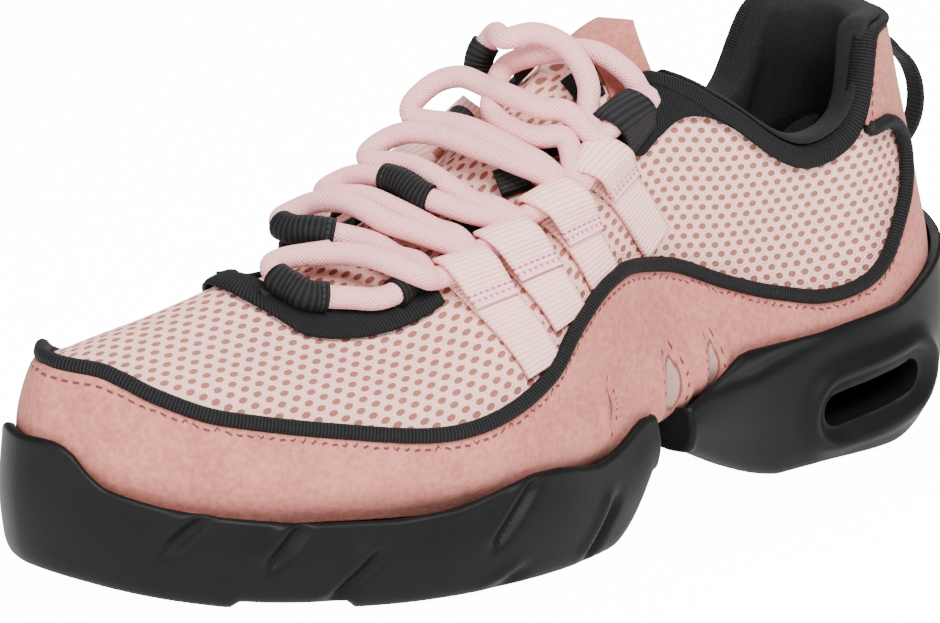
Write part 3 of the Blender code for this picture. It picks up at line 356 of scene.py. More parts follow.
def shade_colour(start, value):
    return start.node("ShaderNodeCombineXYZ", {0: value, 1: value, 2: value})


# The hole colour is the lower layer's pink darkened with painted shade.
PALE_MESH, HOLE_LAYER_AND_SHADE = (1.0, 0.56, 0.49, 1), (0.34, 0.12, 0.09, 1)
mesh_finish = mesh_cloth("air_mesh", PALE_MESH, HOLE_LAYER_AND_SHADE)


def spread(marks, fine):
    """Each gap between marks cut into about equal steps."""
    out = []
    for low, high in zip(marks[:-1], marks[1:]):
        out += list(np.linspace(low, high, max(2, int(round((high - low) / fine)) + 1))[:-1])
    return np.array(out + [marks[-1]])


upper_marks = [0, 1.0, 1.98, 2.1, 2.2, 2.3, 2.42, 2.6, 2.9, 3.5, 4.4, 4.95, 5.3, 5.65, 6.5, 7.3, 8.1, 8.4, 8.6,
               8.75, 8.85, 10, 11, 12]
upper_side = spread(upper_marks, 0.11)
upper_stations = np.concatenate([upper_side, RING - upper_side[-2::-1]])
upper_rises = topline(upper_stations)[:, None] * np.linspace(0, 1, 44)[None]
upper = laid_cloth("upper_mesh", on_last(upper_stations[:, None], upper_rises),
                   cut_cloth(upper_stations[:, None], upper_rises), closed=True)
give_wall(upper, WALL, -1)
declared(upper, "upper", mesh_finish)

# Tongue. The same mesh over thin foam, bare under the lacing. Its suede end and its label come
# further down.
TONGUE_WALL = 0.0032
tongue_rows = np.array(((5.0, 0.60), (5.3, 0.57), (5.65, 0.55), (6.0, 0.56), (6.4, 0.57), (6.8, 0.60), (7.2, 0.63),
                        (7.6, 0.65), (8.0, 0.67), (8.4, 0.70), (8.8, 0.78), (9.1, 0.86), (9.3, 0.93)))
tongue_stations = np.linspace(5.0, 9.3, 80)
tongue_low = cubic(tongue_rows[:, 0], tongue_rows[:, 1:], tongue_stations)[:, 0]
tongue_shares = np.linspace(0, 1, 26)
tongue_half = tongue_low[:, None] + tongue_shares[None] * (1 - tongue_low)[:, None]
tongue_rises = np.concatenate([tongue_half, tongue_half[:, -2::-1]], 1)
tongue_sides = np.concatenate([np.repeat(tongue_stations[:, None], 26, 1),
                               RING - np.repeat(tongue_stations[:, None], 25, 1)], 1)
tongue_points = skin(tongue_sides, tongue_rises, -(WALL + 2 * LIFT))
tongue = laid_cloth("tongue_pad", tongue_points, cut_cloth(tongue_sides, tongue_rises))
give_wall(tongue, TONGUE_WALL, -1)
declared(tongue, "tongue", mesh_finish)

# Mudguard. Pigskin suede in one ring: a low toe rand, a wave along the sides and a heel
# counter that climbs to the tab. It is glued and stitched under the piping.
RUNGS = ((12, 0.64, 12, 0.05), (11.6, 0.61, 11.6, 0.05), (11.25, 0.58, 11.25, 0.05),
         (10.9, 0.52, 10.9, 0.05), (10.6, 0.47, 10.6, 0.05), (10.1, 0.43, 10.1, 0.04),
         (9.6, 0.41, 9.6, 0.04), (9.05, 0.385, 9.05, 0.04), (8.5, 0.37, 8.5, 0.04),
         (8.0, 0.365, 8.0, 0.04), (7.45, 0.37, 7.45, 0.04), (6.95, 0.39, 6.95, 0.04),
         (6.6, 0.42, 6.6, 0.055), (6.2, 0.435, 6.2, 0.075), (5.87, 0.445, 5.9, 0.08),
         (5.55, 0.45, 5.6, 0.08), (4.8, 0.44, 4.85, 0.04), (4.15, 0.40, 4.1, 0.04), (3.5, 0.34, 3.4, 0.04),
         (2.9, 0.29, 2.7, 0.04), (2.37, 0.30, 2.0, 0.04), (1.89, 0.36, 1.3, 0.04),
         (1.51, 0.44, 0.6, 0.06), (1.40, 0.53, 0, 0.16), (1.55, 0.60, 0, 0.36), (1.83, 0.64, 0, 0.50),
         (2.2, 0.665, 0, 0.64), (2.14, 0.78, 0, 0.78), (1.96, 0.870, 0, 0.870))
PIPED_RUNGS, PIPING_RADIUS = 27, 0.0019


def rungs_at(places):
    row = cubic(np.arange(len(RUNGS)), RUNGS, places)
    return row[..., 0:2], np.stack([np.maximum(row[..., 2], 0), row[..., 3]], -1)


def lengths(points):
    return np.concatenate([[0], np.cumsum(np.linalg.norm(np.diff(points, axis=0), axis=1))])


piping_way = rungs_at(np.linspace(0, PIPED_RUNGS - 1, 700))[0]
piping_axis = skin(piping_way[:, 0], piping_way[:, 1], LIFT + PIPING_RADIUS)
suede_places = np.linspace(0, len(RUNGS) - 1, 420)
SLITS = ((153.5, 25.0, 1.5, 4.6), (184.0, 29.5, 3.4, 6.4), (200.8, 23.0, 2.3, 5.6))


def gathered(flat):
    """The suede sinks in each slit at the arch and bunches up on both sides of it."""
    stands = 0.0
    for run, depth, half_wide, half_tall in SLITS:
        off = (flat[..., 0] * 1000 - run) / half_wide
        up = np.exp(-(((flat[..., 1] * 1000 - depth) / (1.35 * half_tall)) ** 4))
        stands = stands + up * (0.0011 * np.exp(-((np.abs(off) - 1.75) / 0.75) ** 2) - 0.0006 * np.exp(-off ** 4))
    return stands


suede_tops, suede_unders = rungs_at(suede_places)
suede_run = lengths(skin(suede_tops[:, 0], suede_tops[:, 1]))
suede_points, suede_flat = [], []
for top, under, run in zip(suede_tops, suede_unders, suede_run):
    trial = np.linspace(0, 1, 80)[:, None]
    line = skin(*(top + trial * (under - top)).T, LIFT + SUEDE / 2)
    clear = np.linalg.norm(line[:, None] - piping_axis[None, ::4], axis=-1).min(1) > PIPING_RADIUS * 0.9
    start = trial[np.argmax(clear), 0]
    at = top + (start + (1 - start) * np.linspace(0, 1, 36)[:, None]) * (under - top)
    place = skin(at[:, 0], at[:, 1], LIFT)
    flat = np.stack([np.full(len(at), run), lengths(place)], -1)
    suede_points.append(skin(at[:, 0], at[:, 1], LIFT + gathered(flat)))
    suede_flat.append(flat)
suede_points, suede_flat = np.array(suede_points), np.array(suede_flat)


def suede_cloth(name, base, deep):
    """Napped suede: mottled, with a row of stitching by its edge, the slits at the arch and painted shadow round
    each slit.
    """
    made, start, shader = new_finish(name)
    run, depth = flat_cut(start)
    broad, fine, fibre = speckle(start, 70.0, 4.0), speckle(start, 650.0, 4.0), speckle(start, 2600.0, 2.0)
    mottle = (broad * 0.45 + fine * 0.75).between(0.38, 0.82)
    stitch = depth.around(2.4, 0.22, 0.42)
    dash = (run / 2.5).fraction().around(0.5, 0.25, 0.34)
    thread = stitch * dash
    slits, sewings, rims = [], [], []
    for at_run, at_depth, half_wide, half_tall in SLITS:
        far = (((run - at_run) / half_wide) ** 2.0 + ((depth - at_depth) / half_tall) ** 2.0).math("SQRT")
        turn = (run - at_run).math("ARCTAN2", depth - at_depth)
        slits.append(1.0 - far.between(0.86, 1.02))
        # A thin ring just outside each slit, darkened below as painted shadow at the cut edge.
        rims.append(far.around(1.04, 0.03, 0.16))
        sewings.append(far.around(1.6, 0.06, 0.14) * (turn * 13.0).sine().between(0.3, 0.7))
    openings, slit_shadow, sewing = sum(slits), sum(rims), sum(sewings)
    fold = (openings * 6.0 + fine).sine() * 0.1
    colour = thread.mixed(mottle.mixed(deep, base), (0.13, 0.035, 0.045, 1))
    colour = sewing.math("MINIMUM", 1.0).mixed(colour, (0.17, 0.02, 0.06, 1))
    colour = openings.math("MINIMUM", 1.0).mixed(colour, (0.40, 0.23, 0.21, 1))
    # Painted shadow: the suede round each slit is darkened where the cut edge would shade it.
    colour = (slit_shadow.math("MINIMUM", 1.0) * 0.75).mixed(colour, (0.10, 0.032, 0.028, 1))
    height = fine * 0.5 + fibre * 0.5 - stitch * 0.35 + thread * 0.25 - openings * 1.6 + fold
    bump = start.node("ShaderNodeBump", {"Height": height, "Distance": 0.00045, "Strength": 0.55})
    wire(start, shader, {"Base Color": colour, "Roughness": 0.95, "Normal": bump,
                         "Sheen Weight": 0.08, "Specular IOR Level": 0.1})
    return made


suede_finish = suede_cloth("suede", (0.56, 0.205, 0.165, 1), (0.38, 0.125, 0.095, 1))
suede_halves = []
for medial in (False, True):
    points = suede_points
    if medial:
        points = []
        for top, under, flat in zip(suede_tops, suede_unders, suede_flat):
            trial = np.linspace(0, 1, 80)[:, None]
            line = top + trial * (under - top)
            depth = lengths(skin(line[:, 0], line[:, 1], LIFT))
            start = max(0.0, (depth[-1] - flat[-1, 1]) / max(depth[-1], 1e-6))
            at = top + (start + (1 - start) * np.linspace(0, 1, 36)[:, None]) * (under - top)
            points.append(skin(RING - at[:, 0], at[:, 1], LIFT + gathered(flat)))
        points = np.array(points)
    half = laid_cloth("suede_inner" if medial else "suede_outer", points, suede_flat)
    half.data.materials.append(suede_finish)
    suede_halves.append(half)
bpy.ops.object.select_all(action="DESELECT")
for half in suede_halves:
    half.select_set(True)
bpy.context.view_layer.objects.active = suede_halves[0]
bpy.ops.object.join()
mudguard = bpy.context.object
mudguard.name = mudguard.data.name = "suede_guard"
welded(0.00003)
give_wall(mudguard, SUEDE, 1)
declared(mudguard, "suede_mudguard")

# Piping. A ribbed black cord sewn in between the mesh and the suede, all round the shoe from one
# side of the heel to the other.


def cord_piece(name, points, radius, finish, across=12, spacing=0.0012):
    """A round cord along points, its UV map round and along it in metres."""
    reach = lengths(points)
    count = max(4, int(reach[-1] / spacing))
    at = np.linspace(0, reach[-1], count)
    line = np.stack([np.interp(at, reach, points[:, i]) for i in range(3)], -1)
    way = np.gradient(line, axis=0)
    way /= np.linalg.norm(way, axis=1)[:, None]
    side = np.zeros_like(way)
    side[0] = np.cross(way[0], (0.0, 0.0, 1.0))
    side[0] /= np.linalg.norm(side[0])
    for i in range(1, count):
        side[i] = side[i - 1] - (side[i - 1] @ way[i]) * way[i]
        side[i] /= np.linalg.norm(side[i])
    up = np.cross(way, side)
    angle = np.linspace(0, 2 * math.pi, across + 1)
    ring = radius * (np.cos(angle)[None, :, None] * side[:, None] + np.sin(angle)[None, :, None] * up[:, None])
    flat = np.stack(np.broadcast_arrays(angle[None] * radius, at[:, None]), -1)
    made = laid_grid(name, line[:, None] + ring, flat)
    welded(0.00001, across)
    bpy.ops.object.shade_smooth()
    made.data.materials.append(finish)
    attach(made, "root")
    return made


def ribbed_cloth(name, dark, light, pitch, along=True, depth=0.00025, gloss=0.6):
    """Woven tape: close ribs one way, with a fine weave between."""
    made, start, shader = new_finish(name)
    x, y = flat_cut(start)
    rib = ((y if along else x) * (2 * math.pi / pitch)).sine() * 0.5 + 0.5
    weave = ((x if along else y) * (2 * math.pi / (pitch * 0.62))).sine() * 0.5 + 0.5
    fuzz = speckle(start, 1800.0, 2.0)
    tone = (rib * 0.65 + weave * 0.12 + fuzz * 0.3).between(0.1, 1.0)
    bump = start.node("ShaderNodeBump", {"Height": rib + weave * 0.25 + fuzz * 0.3, "Distance": depth,
                                         "Strength": 0.8})
    wire(start, shader, {"Base Color": tone.mixed(dark, light), "Roughness": gloss, "Normal": bump,
                         "Specular IOR Level": 0.09})
    return made


black_tape = ribbed_cloth("black_webbing", (0.0035, 0.0035, 0.004, 1), (0.017, 0.017, 0.018, 1), 0.85)
piping_line = np.concatenate([np.stack([RING - piping_way[:0:-1, 0], piping_way[:0:-1, 1]], -1), piping_way])
piping = cord_piece("piping_cord", skin(piping_line[:, 0], piping_line[:, 1], LIFT + PIPING_RADIUS * 0.8),
                    PIPING_RADIUS, black_tape)
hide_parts("piping")

# Soles. Two moulded rubber units, forefoot and heel, with nothing under the arch. Their sides
# have soft slanted slashes, and the heel an oval moulding round its window.
SLASHES = ((40.7, 90, 43.2, 66), (33.0, 78, 35.8, 50), (26.8, 46, 31.0, 10), (12.0, 84, 16.0, 44),
           (13.5, 12, 17.0, -4), (1.8, 44, 5.5, 4))
HEEL_UNIT = ((0, 4.0, 184), (0.6, 4.8, 180), (1.0, 5.5, 166), (1.5, 5.3, 146), (2.0, 5.2, 130),
             (3.0, 5.2, 119), (3.9, 5.2, 120), (4.2, 5.2, 121), (4.45, 5.2, 108), (4.8, 5.1, 96),
             (5.05, 5.0, 90))
TOE_UNIT = ((5.68, 5.1, 98), (5.85, 5.2, 103), (6.05, 5.2, 94), (6.3, 5.2, 84), (6.6, 5.2, 80),
            (7.05, 5.4, 90), (7.4, 5.3, 91), (7.7, 5.2, 84), (8.1, 5.2, 75), (8.6, 5.2, 72),
            (9.3, 5.2, 77), (10.0, 5.2, 89), (10.5, 5.3, 97), (11.0, 5.0, 109), (11.2, 5.0, 120),
            (11.35, 5.1, 136), (11.6, 5.3, 144), (12, 5.5, 143))
TOE_SPRING, HEEL_BEVEL, LIP_ROUND, FOOT_ROUND = 0.010, 0.018, 0.0013, 0.0045
CUP_LIFT, SOFT_EDGE = LIFT + SUEDE + 5 * GAP, math.radians(70)
WINDOW_X, WINDOW_Z, WINDOW, WINDOW_TILT = -0.357 * LENGTH, 0.54 * HEEL_SEAT, (0.0350, 0.0090), math.radians(8)


def rise_at(station, height):
    rises = np.linspace(0, 1, 160)
    return float(np.interp(height, np.maximum.accumulate(on_last(station, rises)[:, 2]), rises))


def ground(x):
    toe = np.clip((x / LENGTH - 0.222) / 0.278, 0, 1)
    ball_end = np.clip((0.015 - x / LENGTH) / 0.063, 0, 1)
    arch = np.clip((x / LENGTH + 0.244) / 0.126, 0, 1)
    back = np.clip((-0.389 - x / LENGTH) / 0.111, 0, 1)
    if x > -0.11 * LENGTH:
        return TOE_SPRING * toe ** 2 + 0.5 * HEEL_SEAT * ball_end ** 2
    return 0.50 * HEEL_SEAT * arch ** 1.4 + HEEL_BEVEL * back ** 2


def slashes_at(x, z):
    """How far the forefoot's side stands out: a trough along each slash and a ridge under it."""
    stands = 0.0
    for top_x, top_z, low_x, low_z in SLASHES:
        a = np.array([top_x * PER_LENGTH, top_z * PER_SEAT])
        b = np.array([low_x * PER_LENGTH, low_z * PER_SEAT])
        way = (b - a) / np.linalg.norm(b - a)
        from_a = np.array([x, z]) - a
        run, off = from_a @ way, from_a @ np.array([way[1], -way[0]])
        reach = np.linalg.norm(b - a)
        fade = 1 / (1 + np.exp(-(run + 0.001) / 0.0012)) / (1 + np.exp((run - reach - 0.001) / 0.0012))
        stands += fade * (-0.0021 * np.exp(-((off - 0.0004) / 0.0015) ** 2)
                          + 0.0008 * np.exp(-((off + 0.0028) / 0.0018) ** 2))
    return stands


def oval_far(x, z, length, height):
    """Distance outside an oval of straight sides and round ends, in the side view."""
    straight = (length - height) / 2
    along = (x - WINDOW_X) * math.cos(WINDOW_TILT) - (z - WINDOW_Z) * math.sin(WINDOW_TILT)
    across = (x - WINDOW_X) * math.sin(WINDOW_TILT) + (z - WINDOW_Z) * math.cos(WINDOW_TILT)
    return np.hypot(max(abs(along) - straight, 0), across) - height / 2


def moulding_at(x, z):
    """How far the heel's side stands out: a soft ring round the window, and two long ridges."""
    far = oval_far(x, z, *WINDOW)
    ring = 0.0022 * np.exp(-((far - 0.0052) / 0.0026) ** 2) - 0.0012 * np.exp(-(far / 0.0022) ** 2)
    groove = z - (0.0300 + 0.22 * np.clip(-0.055 - x, 0, 0.1) + 3.0 * np.clip(-0.085 - x, 0, 0.1) ** 2)
    return ring - 0.0009 * np.exp(-(groove / 0.0016) ** 2) + 0.0007 * np.exp(-((groove - 0.0042) / 0.0022) ** 2)


def sole_side(station, table, relief):
    """One side of a unit's section, from under the edge, up the side, over the lip and down the cup."""
    near = station % RING
    near = min(near, RING - near)
    flare, lip = (np.interp(near, [r[0] for r in table], [r[i] for r in table]) for i in (1, 2))
    smooth = np.mean([np.interp(near + d, [r[0] for r in table], [r[2] for r in table]) for d in (-0.12, 0, 0.12)])
    flare, lip = flare * PER_WIDTH, (0.4 * lip + 0.6 * smooth) * PER_SEAT
    outline, spine, heights, shares = section(station)
    along = section(station + 0.01)[0] - section(station - 0.01)[0]
    along /= np.linalg.norm(along)
    away = np.array([along[1], -along[0]])
    if away @ (outline - spine) < 0:
        away = -away
    edge = outline + flare * away
    step_up = 0.0018 * (1 / (1 + np.exp(-(near - 9.0) / 0.012)) - 1 / (1 + np.exp(-(near - 9.9) / 0.012)))
    low = ground(edge[0]) + step_up
    tall = max(lip - low, 0.004)
    foot = [(FOOT_ROUND * (1 - math.sin(a)) ** 1.4, low + 0.20 * tall * (1 - math.cos(a)) ** 1.2)
            for a in np.linspace(0, math.pi / 2, 9)]
    wall = [(0.0, low + part * tall) for part in np.linspace(0.24, 1 - LIP_ROUND / tall, 26)]
    rim = [(LIP_ROUND * (1 - math.cos(a)), lip - LIP_ROUND + LIP_ROUND * math.sin(a))
           for a in np.linspace(0.3, math.pi / 2, 5)]
    points = []
    for inset, height in [(FOOT_ROUND + 0.001, low)] + foot + wall + rim:
        share = (height - low) / tall
        crown = 0.0012 * math.sin(math.pi * np.clip(share, 0, 1)) ** 1.5
        stand = ((relief(edge[0], height) + crown) * np.clip(share / 0.15, 0, 1)
                 * np.clip((1.04 - share) / 0.12, 0, 1))
        points.append((*(edge - (inset - stand) * away), height))
    lip_rise = rise_at(station, lip - LIP_ROUND / 2)
    cup = [tuple(skin(station, lip_rise * part, CUP_LIFT - 0.0006)) for part in (1.0, 0.6, 0.3, 0.0)]
    return np.array(points + cup[:3] + [(cup[3][0], cup[3][1], heights[0] - GAP)])


def moulded_unit(name, table, stations, relief, node):
    rings = []
    for s in stations:
        outer, inner = sole_side(s, table, relief), sole_side(RING - s, table, relief)
        tread = inner[0] + np.linspace(0, 1, 8)[1:-1, None] * (outer[0] - inner[0])
        rings.append(np.concatenate([outer, inner[::-1], tread]))
    first = rings[0]
    middle = first.mean(0)
    back = np.array([np.sign(middle[0] - rings[3].mean(0)[0]), 0, 0])
    ends = [middle + (first - middle) * (1 - a) + b * back
            for a, b in ((0.03, 0.0009), (0.09, 0.0012), (0.5, 0.0012))]
    rings = np.array(ends[::-1] + rings)
    unit = laid_grid(name, np.concatenate([rings, rings[:, :1]], 1))
    welded(0.00003, 0)
    bpy.ops.object.shade_smooth_by_angle(angle=SOFT_EDGE)
    declared(unit, node, rubber)
    return unit


rubber, rubber_start, rubber_shader = new_finish("sole_rubber")
pebble = speckle(rubber_start, 1700.0, 3.0)
cloud = speckle(rubber_start, 45.0, 3.0)
rubber_bump = rubber_start.node("ShaderNodeBump", {"Height": pebble, "Distance": 0.00018, "Strength": 0.35})
wire(rubber_start, rubber_shader,
     {"Base Color": cloud.mixed((0.003, 0.003, 0.0032, 1), (0.007, 0.007, 0.0072, 1)),
      "Roughness": cloud * 0.25 + 0.34, "Normal": rubber_bump, "Specular IOR Level": 0.11})

moulded_unit("forefoot_unit", TOE_UNIT, spread([5.68, 6.0, 7.0, 8.9, 9.1, 9.8, 10.0, 11.0, 12.0], 0.035),
             slashes_at, "forefoot_sole")
heel_unit = moulded_unit("heel_unit", HEEL_UNIT, spread([0, 1, 2, 4, 5.05], 0.04)[::-1], moulding_at, "heel_sole")

bpy.ops.object.select_all(action="DESELECT")
bpy.ops.mesh.primitive_cylinder_add(vertices=64, radius=WINDOW[1] / 2, depth=2 * BALL_WIDTH,
                                    rotation=(math.radians(90), 0, 0))
window_tool = bpy.context.object
bpy.ops.object.transform_apply(location=False, rotation=True, scale=False)
for corner in window_tool.data.vertices:
    corner.co.x += math.copysign((WINDOW[0] - WINDOW[1]) / 2, corner.co.x)
    corner.co = Matrix.Rotation(WINDOW_TILT, 3, "Y") @ corner.co + Vector((WINDOW_X, 0, WINDOW_Z)) + Vector(SHIFT)
window_cut = heel_unit.modifiers.new("window", "BOOLEAN")
window_cut.object = window_tool
window_cut.solver = "EXACT"
bpy.context.view_layer.objects.active = heel_unit
bpy.ops.object.modifier_apply(modifier="window")
bpy.data.objects.remove(window_tool, do_unlink=True)
bpy.ops.object.select_all(action="DESELECT")
heel_unit.select_set(True)
bpy.context.view_layer.objects.active = heel_unit
bpy.ops.object.shade_smooth_by_angle(angle=SOFT_EDGE)

# Throat binding and collar bands. Black knitted tape folded over the mesh's edge at the throat,
# and a ribbed band along the collar that widens beside the laces.
BINDING_ROWS = ((7.46, 0.766, 0.70), (7.6, 0.773, 0.705), (7.8, 0.785, 0.715), (8.1, 0.80, 0.73),
                (8.4, 0.825, 0.74), (8.6, 0.86, 0.75), (8.75, 0.91, 0.77))
BINDING_TOE = ((0.80, 8.82), (0.86, 8.95), (0.92, 9.06), (1.0, 9.14))
BAND_ROWS = ((2.42, 0.675), (2.7, 0.67), (3.1, 0.685), (3.5, 0.695), (3.9, 0.71), (4.3, 0.72), (4.65, 0.70),
             (4.95, 0.66), (5.25, 0.635), (5.40, 0.665))


def taped(name, stations, rises, thickness, finish, node, crown=0.0):
    """A band of tape laid on the skin, a little crowned across."""
    share = np.linspace(0, 1, stations.shape[1])
    lift = LIFT + crown * (1 - (2 * share - 1) ** 4)
    points = skin(stations, rises, np.broadcast_to(lift, stations.shape))
    steps = np.linalg.norm(np.diff(points, axis=1), axis=2)
    across = np.concatenate([np.zeros((len(points), 1)), np.cumsum(steps, 1)], 1)
    along = np.repeat(lengths(points[:, points.shape[1] // 2])[:, None], points.shape[1], 1)
    band = laid_cloth(name, points, np.stack([across, along], -1))
    give_wall(band, thickness, 1)
    declared(band, node, finish)


binding_edges = [((station, inner), (station, outer)) for station, inner, outer in BINDING_ROWS]
for rise, station in BINDING_TOE:
    inner_rise = min(1.0, 0.91 + (rise - 0.80) * 0.45)
    binding_edges.append(((8.75 + 0.10 * (inner_rise - 0.91) / 0.09, inner_rise), (station, rise)))
binding_edges = cubic(np.arange(len(binding_edges)), np.array(binding_edges),
                      np.linspace(0, len(binding_edges) - 1, 60))
binding_edges[..., 1] = np.minimum(binding_edges[..., 1], 1.0)
binding_edges = np.concatenate([binding_edges, (binding_edges * (-1, 1) + (RING, 0))[-2::-1]])
tape_across = np.linspace(0, 1, 9)[None, :, None]
binding_grid = binding_edges[:, :1] + tape_across * (binding_edges[:, 1:] - binding_edges[:, :1])
knit_tape = ribbed_cloth("black_knit", (0.004, 0.004, 0.0045, 1), (0.016, 0.016, 0.017, 1), 0.8,
                         depth=0.00018, gloss=0.75)
taped("throat_tape", binding_grid[..., 0], binding_grid[..., 1], BINDING, knit_tape, "throat_binding", 0.0006)

band_stations = np.linspace(2.42, 5.40, 90)
band_low = cubic([row[0] for row in BAND_ROWS], [row[1] for row in BAND_ROWS], band_stations)
band_top = np.mean([topline(band_stations + d) for d in (-0.1, 0, 0.1)], 0)
band_rises = band_low[:, None] + np.linspace(0, 1, 12)[None] * (band_top - band_low)[:, None]
for side, name in ((False, "outer"), (True, "inner")):
    where = np.repeat(RING - band_stations[:, None] if side else band_stations[:, None], 12, 1)
    taped(f"collar_tape_{name}", where, band_rises, BINDING, knit_tape, f"collar_band_{name}", 0.0002)

# The collar's edge tape lies over the bands and turns in under the lining.
EDGE_WALL, EDGE_OVER, EDGE_TURN = 0.0018, 0.0016, 0.0048
edge_side = spread([0, 1.7, 2.6, 4.95], 0.05)
edge_stations = np.concatenate([RING - edge_side[:0:-1], edge_side])
edge_rises = np.mean([topline(edge_stations + d) for d in (-0.1, -0.05, 0, 0.05, 0.1)], 0)
edge_near = np.minimum(edge_stations, RING - edge_stations)
edge_wide = np.interp(edge_near, (0, 1.6, 2.0, 2.5, 4.2, 4.95), (0.0022, 0.0024, 0.0042, 0.0062, 0.0060, 0.0045))
edge_line = skin(edge_stations, edge_rises)
edge_out = skin(edge_stations, edge_rises, 0.001) - edge_line
edge_out /= np.linalg.norm(edge_out, axis=1)[:, None]
edge_way = np.gradient(edge_line, axis=0)
edge_way /= np.linalg.norm(edge_way, axis=1)[:, None]
edge_down = np.cross(edge_out, edge_way)
edge_down *= -np.sign(edge_down[:, 2:] + 1e-9)
for i in range(len(edge_down)):
    if i and edge_down[i] @ edge_down[i - 1] < 0:
        edge_down[i] *= -1
share = np.linspace(0, 1, 12)[None]
over = LIFT + BINDING + 0.0009 * np.sin(np.pi * np.clip(share, 0.05, 1)) ** 0.5 - EDGE_TURN * (1 - share) ** 8
edge_points = (edge_line[:, None] + (share * edge_wide[:, None] - EDGE_OVER)[..., None] * edge_down[:, None]
               + over[..., None] * edge_out[:, None])
edge_flat = np.stack(np.broadcast_arrays(share * edge_wide[:, None], lengths(edge_line)[:, None]), -1)
collar_edge = laid_cloth("collar_edge", edge_points, edge_flat)
give_wall(collar_edge, EDGE_WALL, -1)
declared(collar_edge, finish=knit_tape)

# Collar lining. Black brushed knit over foam, a soft roll over the edge of the collar and down
# inside, sewn to the mesh.
LINING_SECTION = ((-0.030, -0.0040), (-0.016, -0.0040), (0.0012, -0.0040), (0.0014, 0.0002), (0.0024, 0.0004),
                  (0.0034, -0.0012), (0.0036, -0.0048), (0.0010, -0.0086), (-0.009, -0.0092), (-0.020, -0.0072),
                  (-0.030, -0.0050))
lining_side = spread([0, 2.42, 4.65], 0.10)
lining_around = np.concatenate([RING - lining_side[:0:-1], lining_side])
roll = cubic(np.arange(len(LINING_SECTION)), np.array(LINING_SECTION), np.linspace(0, len(LINING_SECTION) - 1, 60))
lining_rings = []
for s in lining_around:
    top = float(np.mean([topline(s + d) for d in (-0.12, -0.06, 0, 0.06, 0.12)]))
    rate = float(np.linalg.norm(on_last(s, top) - on_last(s, top - 0.02)) / 0.02)
    lining_rings.append([skin(s, min(top + t / rate, 0.999), n) for t, n in roll])
lining_rings = np.array(lining_rings)
lining_run = lengths(lining_rings[:, 30])
lining_flat = np.stack(np.broadcast_arrays(lengths(np.column_stack([roll, np.zeros(60)]))[None],
                                           lining_run[:, None]), -1)
lining = laid_cloth("padded_collar", lining_rings, lining_flat, closed=True)
welded(0.00002, 0)
brushed, brushed_start, brushed_shader = new_finish("black_lining")
brushed_nap = speckle(brushed_start, 1100.0, 3.0)
brushed_bump = brushed_start.node("ShaderNodeBump", {"Height": brushed_nap, "Distance": 0.0003, "Strength": 0.5})
brushed_tone = brushed_nap.mixed((0.004, 0.004, 0.004, 1), (0.017, 0.017, 0.018, 1))
wire(brushed_start, brushed_shader, {"Base Color": brushed_tone, "Roughness": 0.8, "Normal": brushed_bump,
                                     "Specular IOR Level": 0.15})
declared(lining, "collar_lining", brushed)
insole_node = bpy.data.objects["insole"]
insole_node.material_slots[0].link = "OBJECT"
insole_node.material_slots[0].material = brushed

# Straps and loops. Pink ribbed webbing from the piping up to the throat, folded back on itself
# and sewn down, and a black loop of the same make at the top.
STRAP_WIDTH, LACE_RADIUS, FOLD_SKEW = 0.0110, 0.0028, 0.42
STRAPS = ((7.18, 0.735, 6.99, 0.445), (6.76, 0.708, 6.56, 0.475), (6.34, 0.683, 6.04, 0.480),
          (5.92, 0.685, 5.12, 0.500))
TOP_LOOP, TOP_LOOP_BASE = (5.47, 0.745, 5.26, 0.672), BINDING + GAP
FLAT = LIFT + WEBBING / 2
LACE_HEIGHT = LIFT + WEBBING + GAP + LACE_RADIUS
LACE_RUN = LACE_RADIUS + GAP
FOLD_TOP = LACE_HEIGHT + LACE_RADIUS + WEBBING / 2 + GAP
FOLD = ((0.0025, FLAT), (0.0006, FLAT), (-0.0008, LACE_HEIGHT - 0.0016),
        (-0.0010, LACE_HEIGHT + 0.0012), (0.0006, FOLD_TOP - 0.0008), (0.0030, FOLD_TOP),
        (0.0055, FOLD_TOP - 0.0004), (0.0085, FOLD_TOP - 0.0030), (0.0115, FLAT + WEBBING + 0.0009),
        (0.0135, FLAT + WEBBING + GAP))


def track(line):
    """A path over the skin: gives points at runs, offsets across and heights over the skin."""
    line = np.asarray(line, float)
    fine = cubic(np.arange(len(line)), line, np.linspace(0, len(line) - 1, 160))
    points = skin(fine[:, 0], fine[:, 1])
    normals = skin(fine[:, 0], fine[:, 1], 0.001) - points
    normals /= np.linalg.norm(normals, axis=1)[:, None]
    ways = np.gradient(points, axis=0)
    ways /= np.linalg.norm(ways, axis=1)[:, None]
    sides = np.cross(normals, ways)
    reach = lengths(points)

    def place(run, across, height):
        run, across, height = np.broadcast_arrays(*(np.asarray(a, float) for a in (run, across, height)))
        point, normal, way, side = (np.stack([np.interp(run, reach, part[:, i]) for i in range(3)], -1)
                                    for part in (points, normals, ways, sides))
        beyond = np.minimum(run, 0) + np.maximum(run - reach[-1], 0)
        return point + beyond[..., None] * way + across[..., None] * side + height[..., None] * normal

    return place, reach[-1]


def strap_line(row, medial):
    line = np.array([[row[0] + t * (row[2] - row[0]), row[1] + t * (row[3] - row[1])] for t in (0, 0.35, 0.7, 1)])
    if medial:
        line[:, 0] = RING - line[:, 0]
    return line


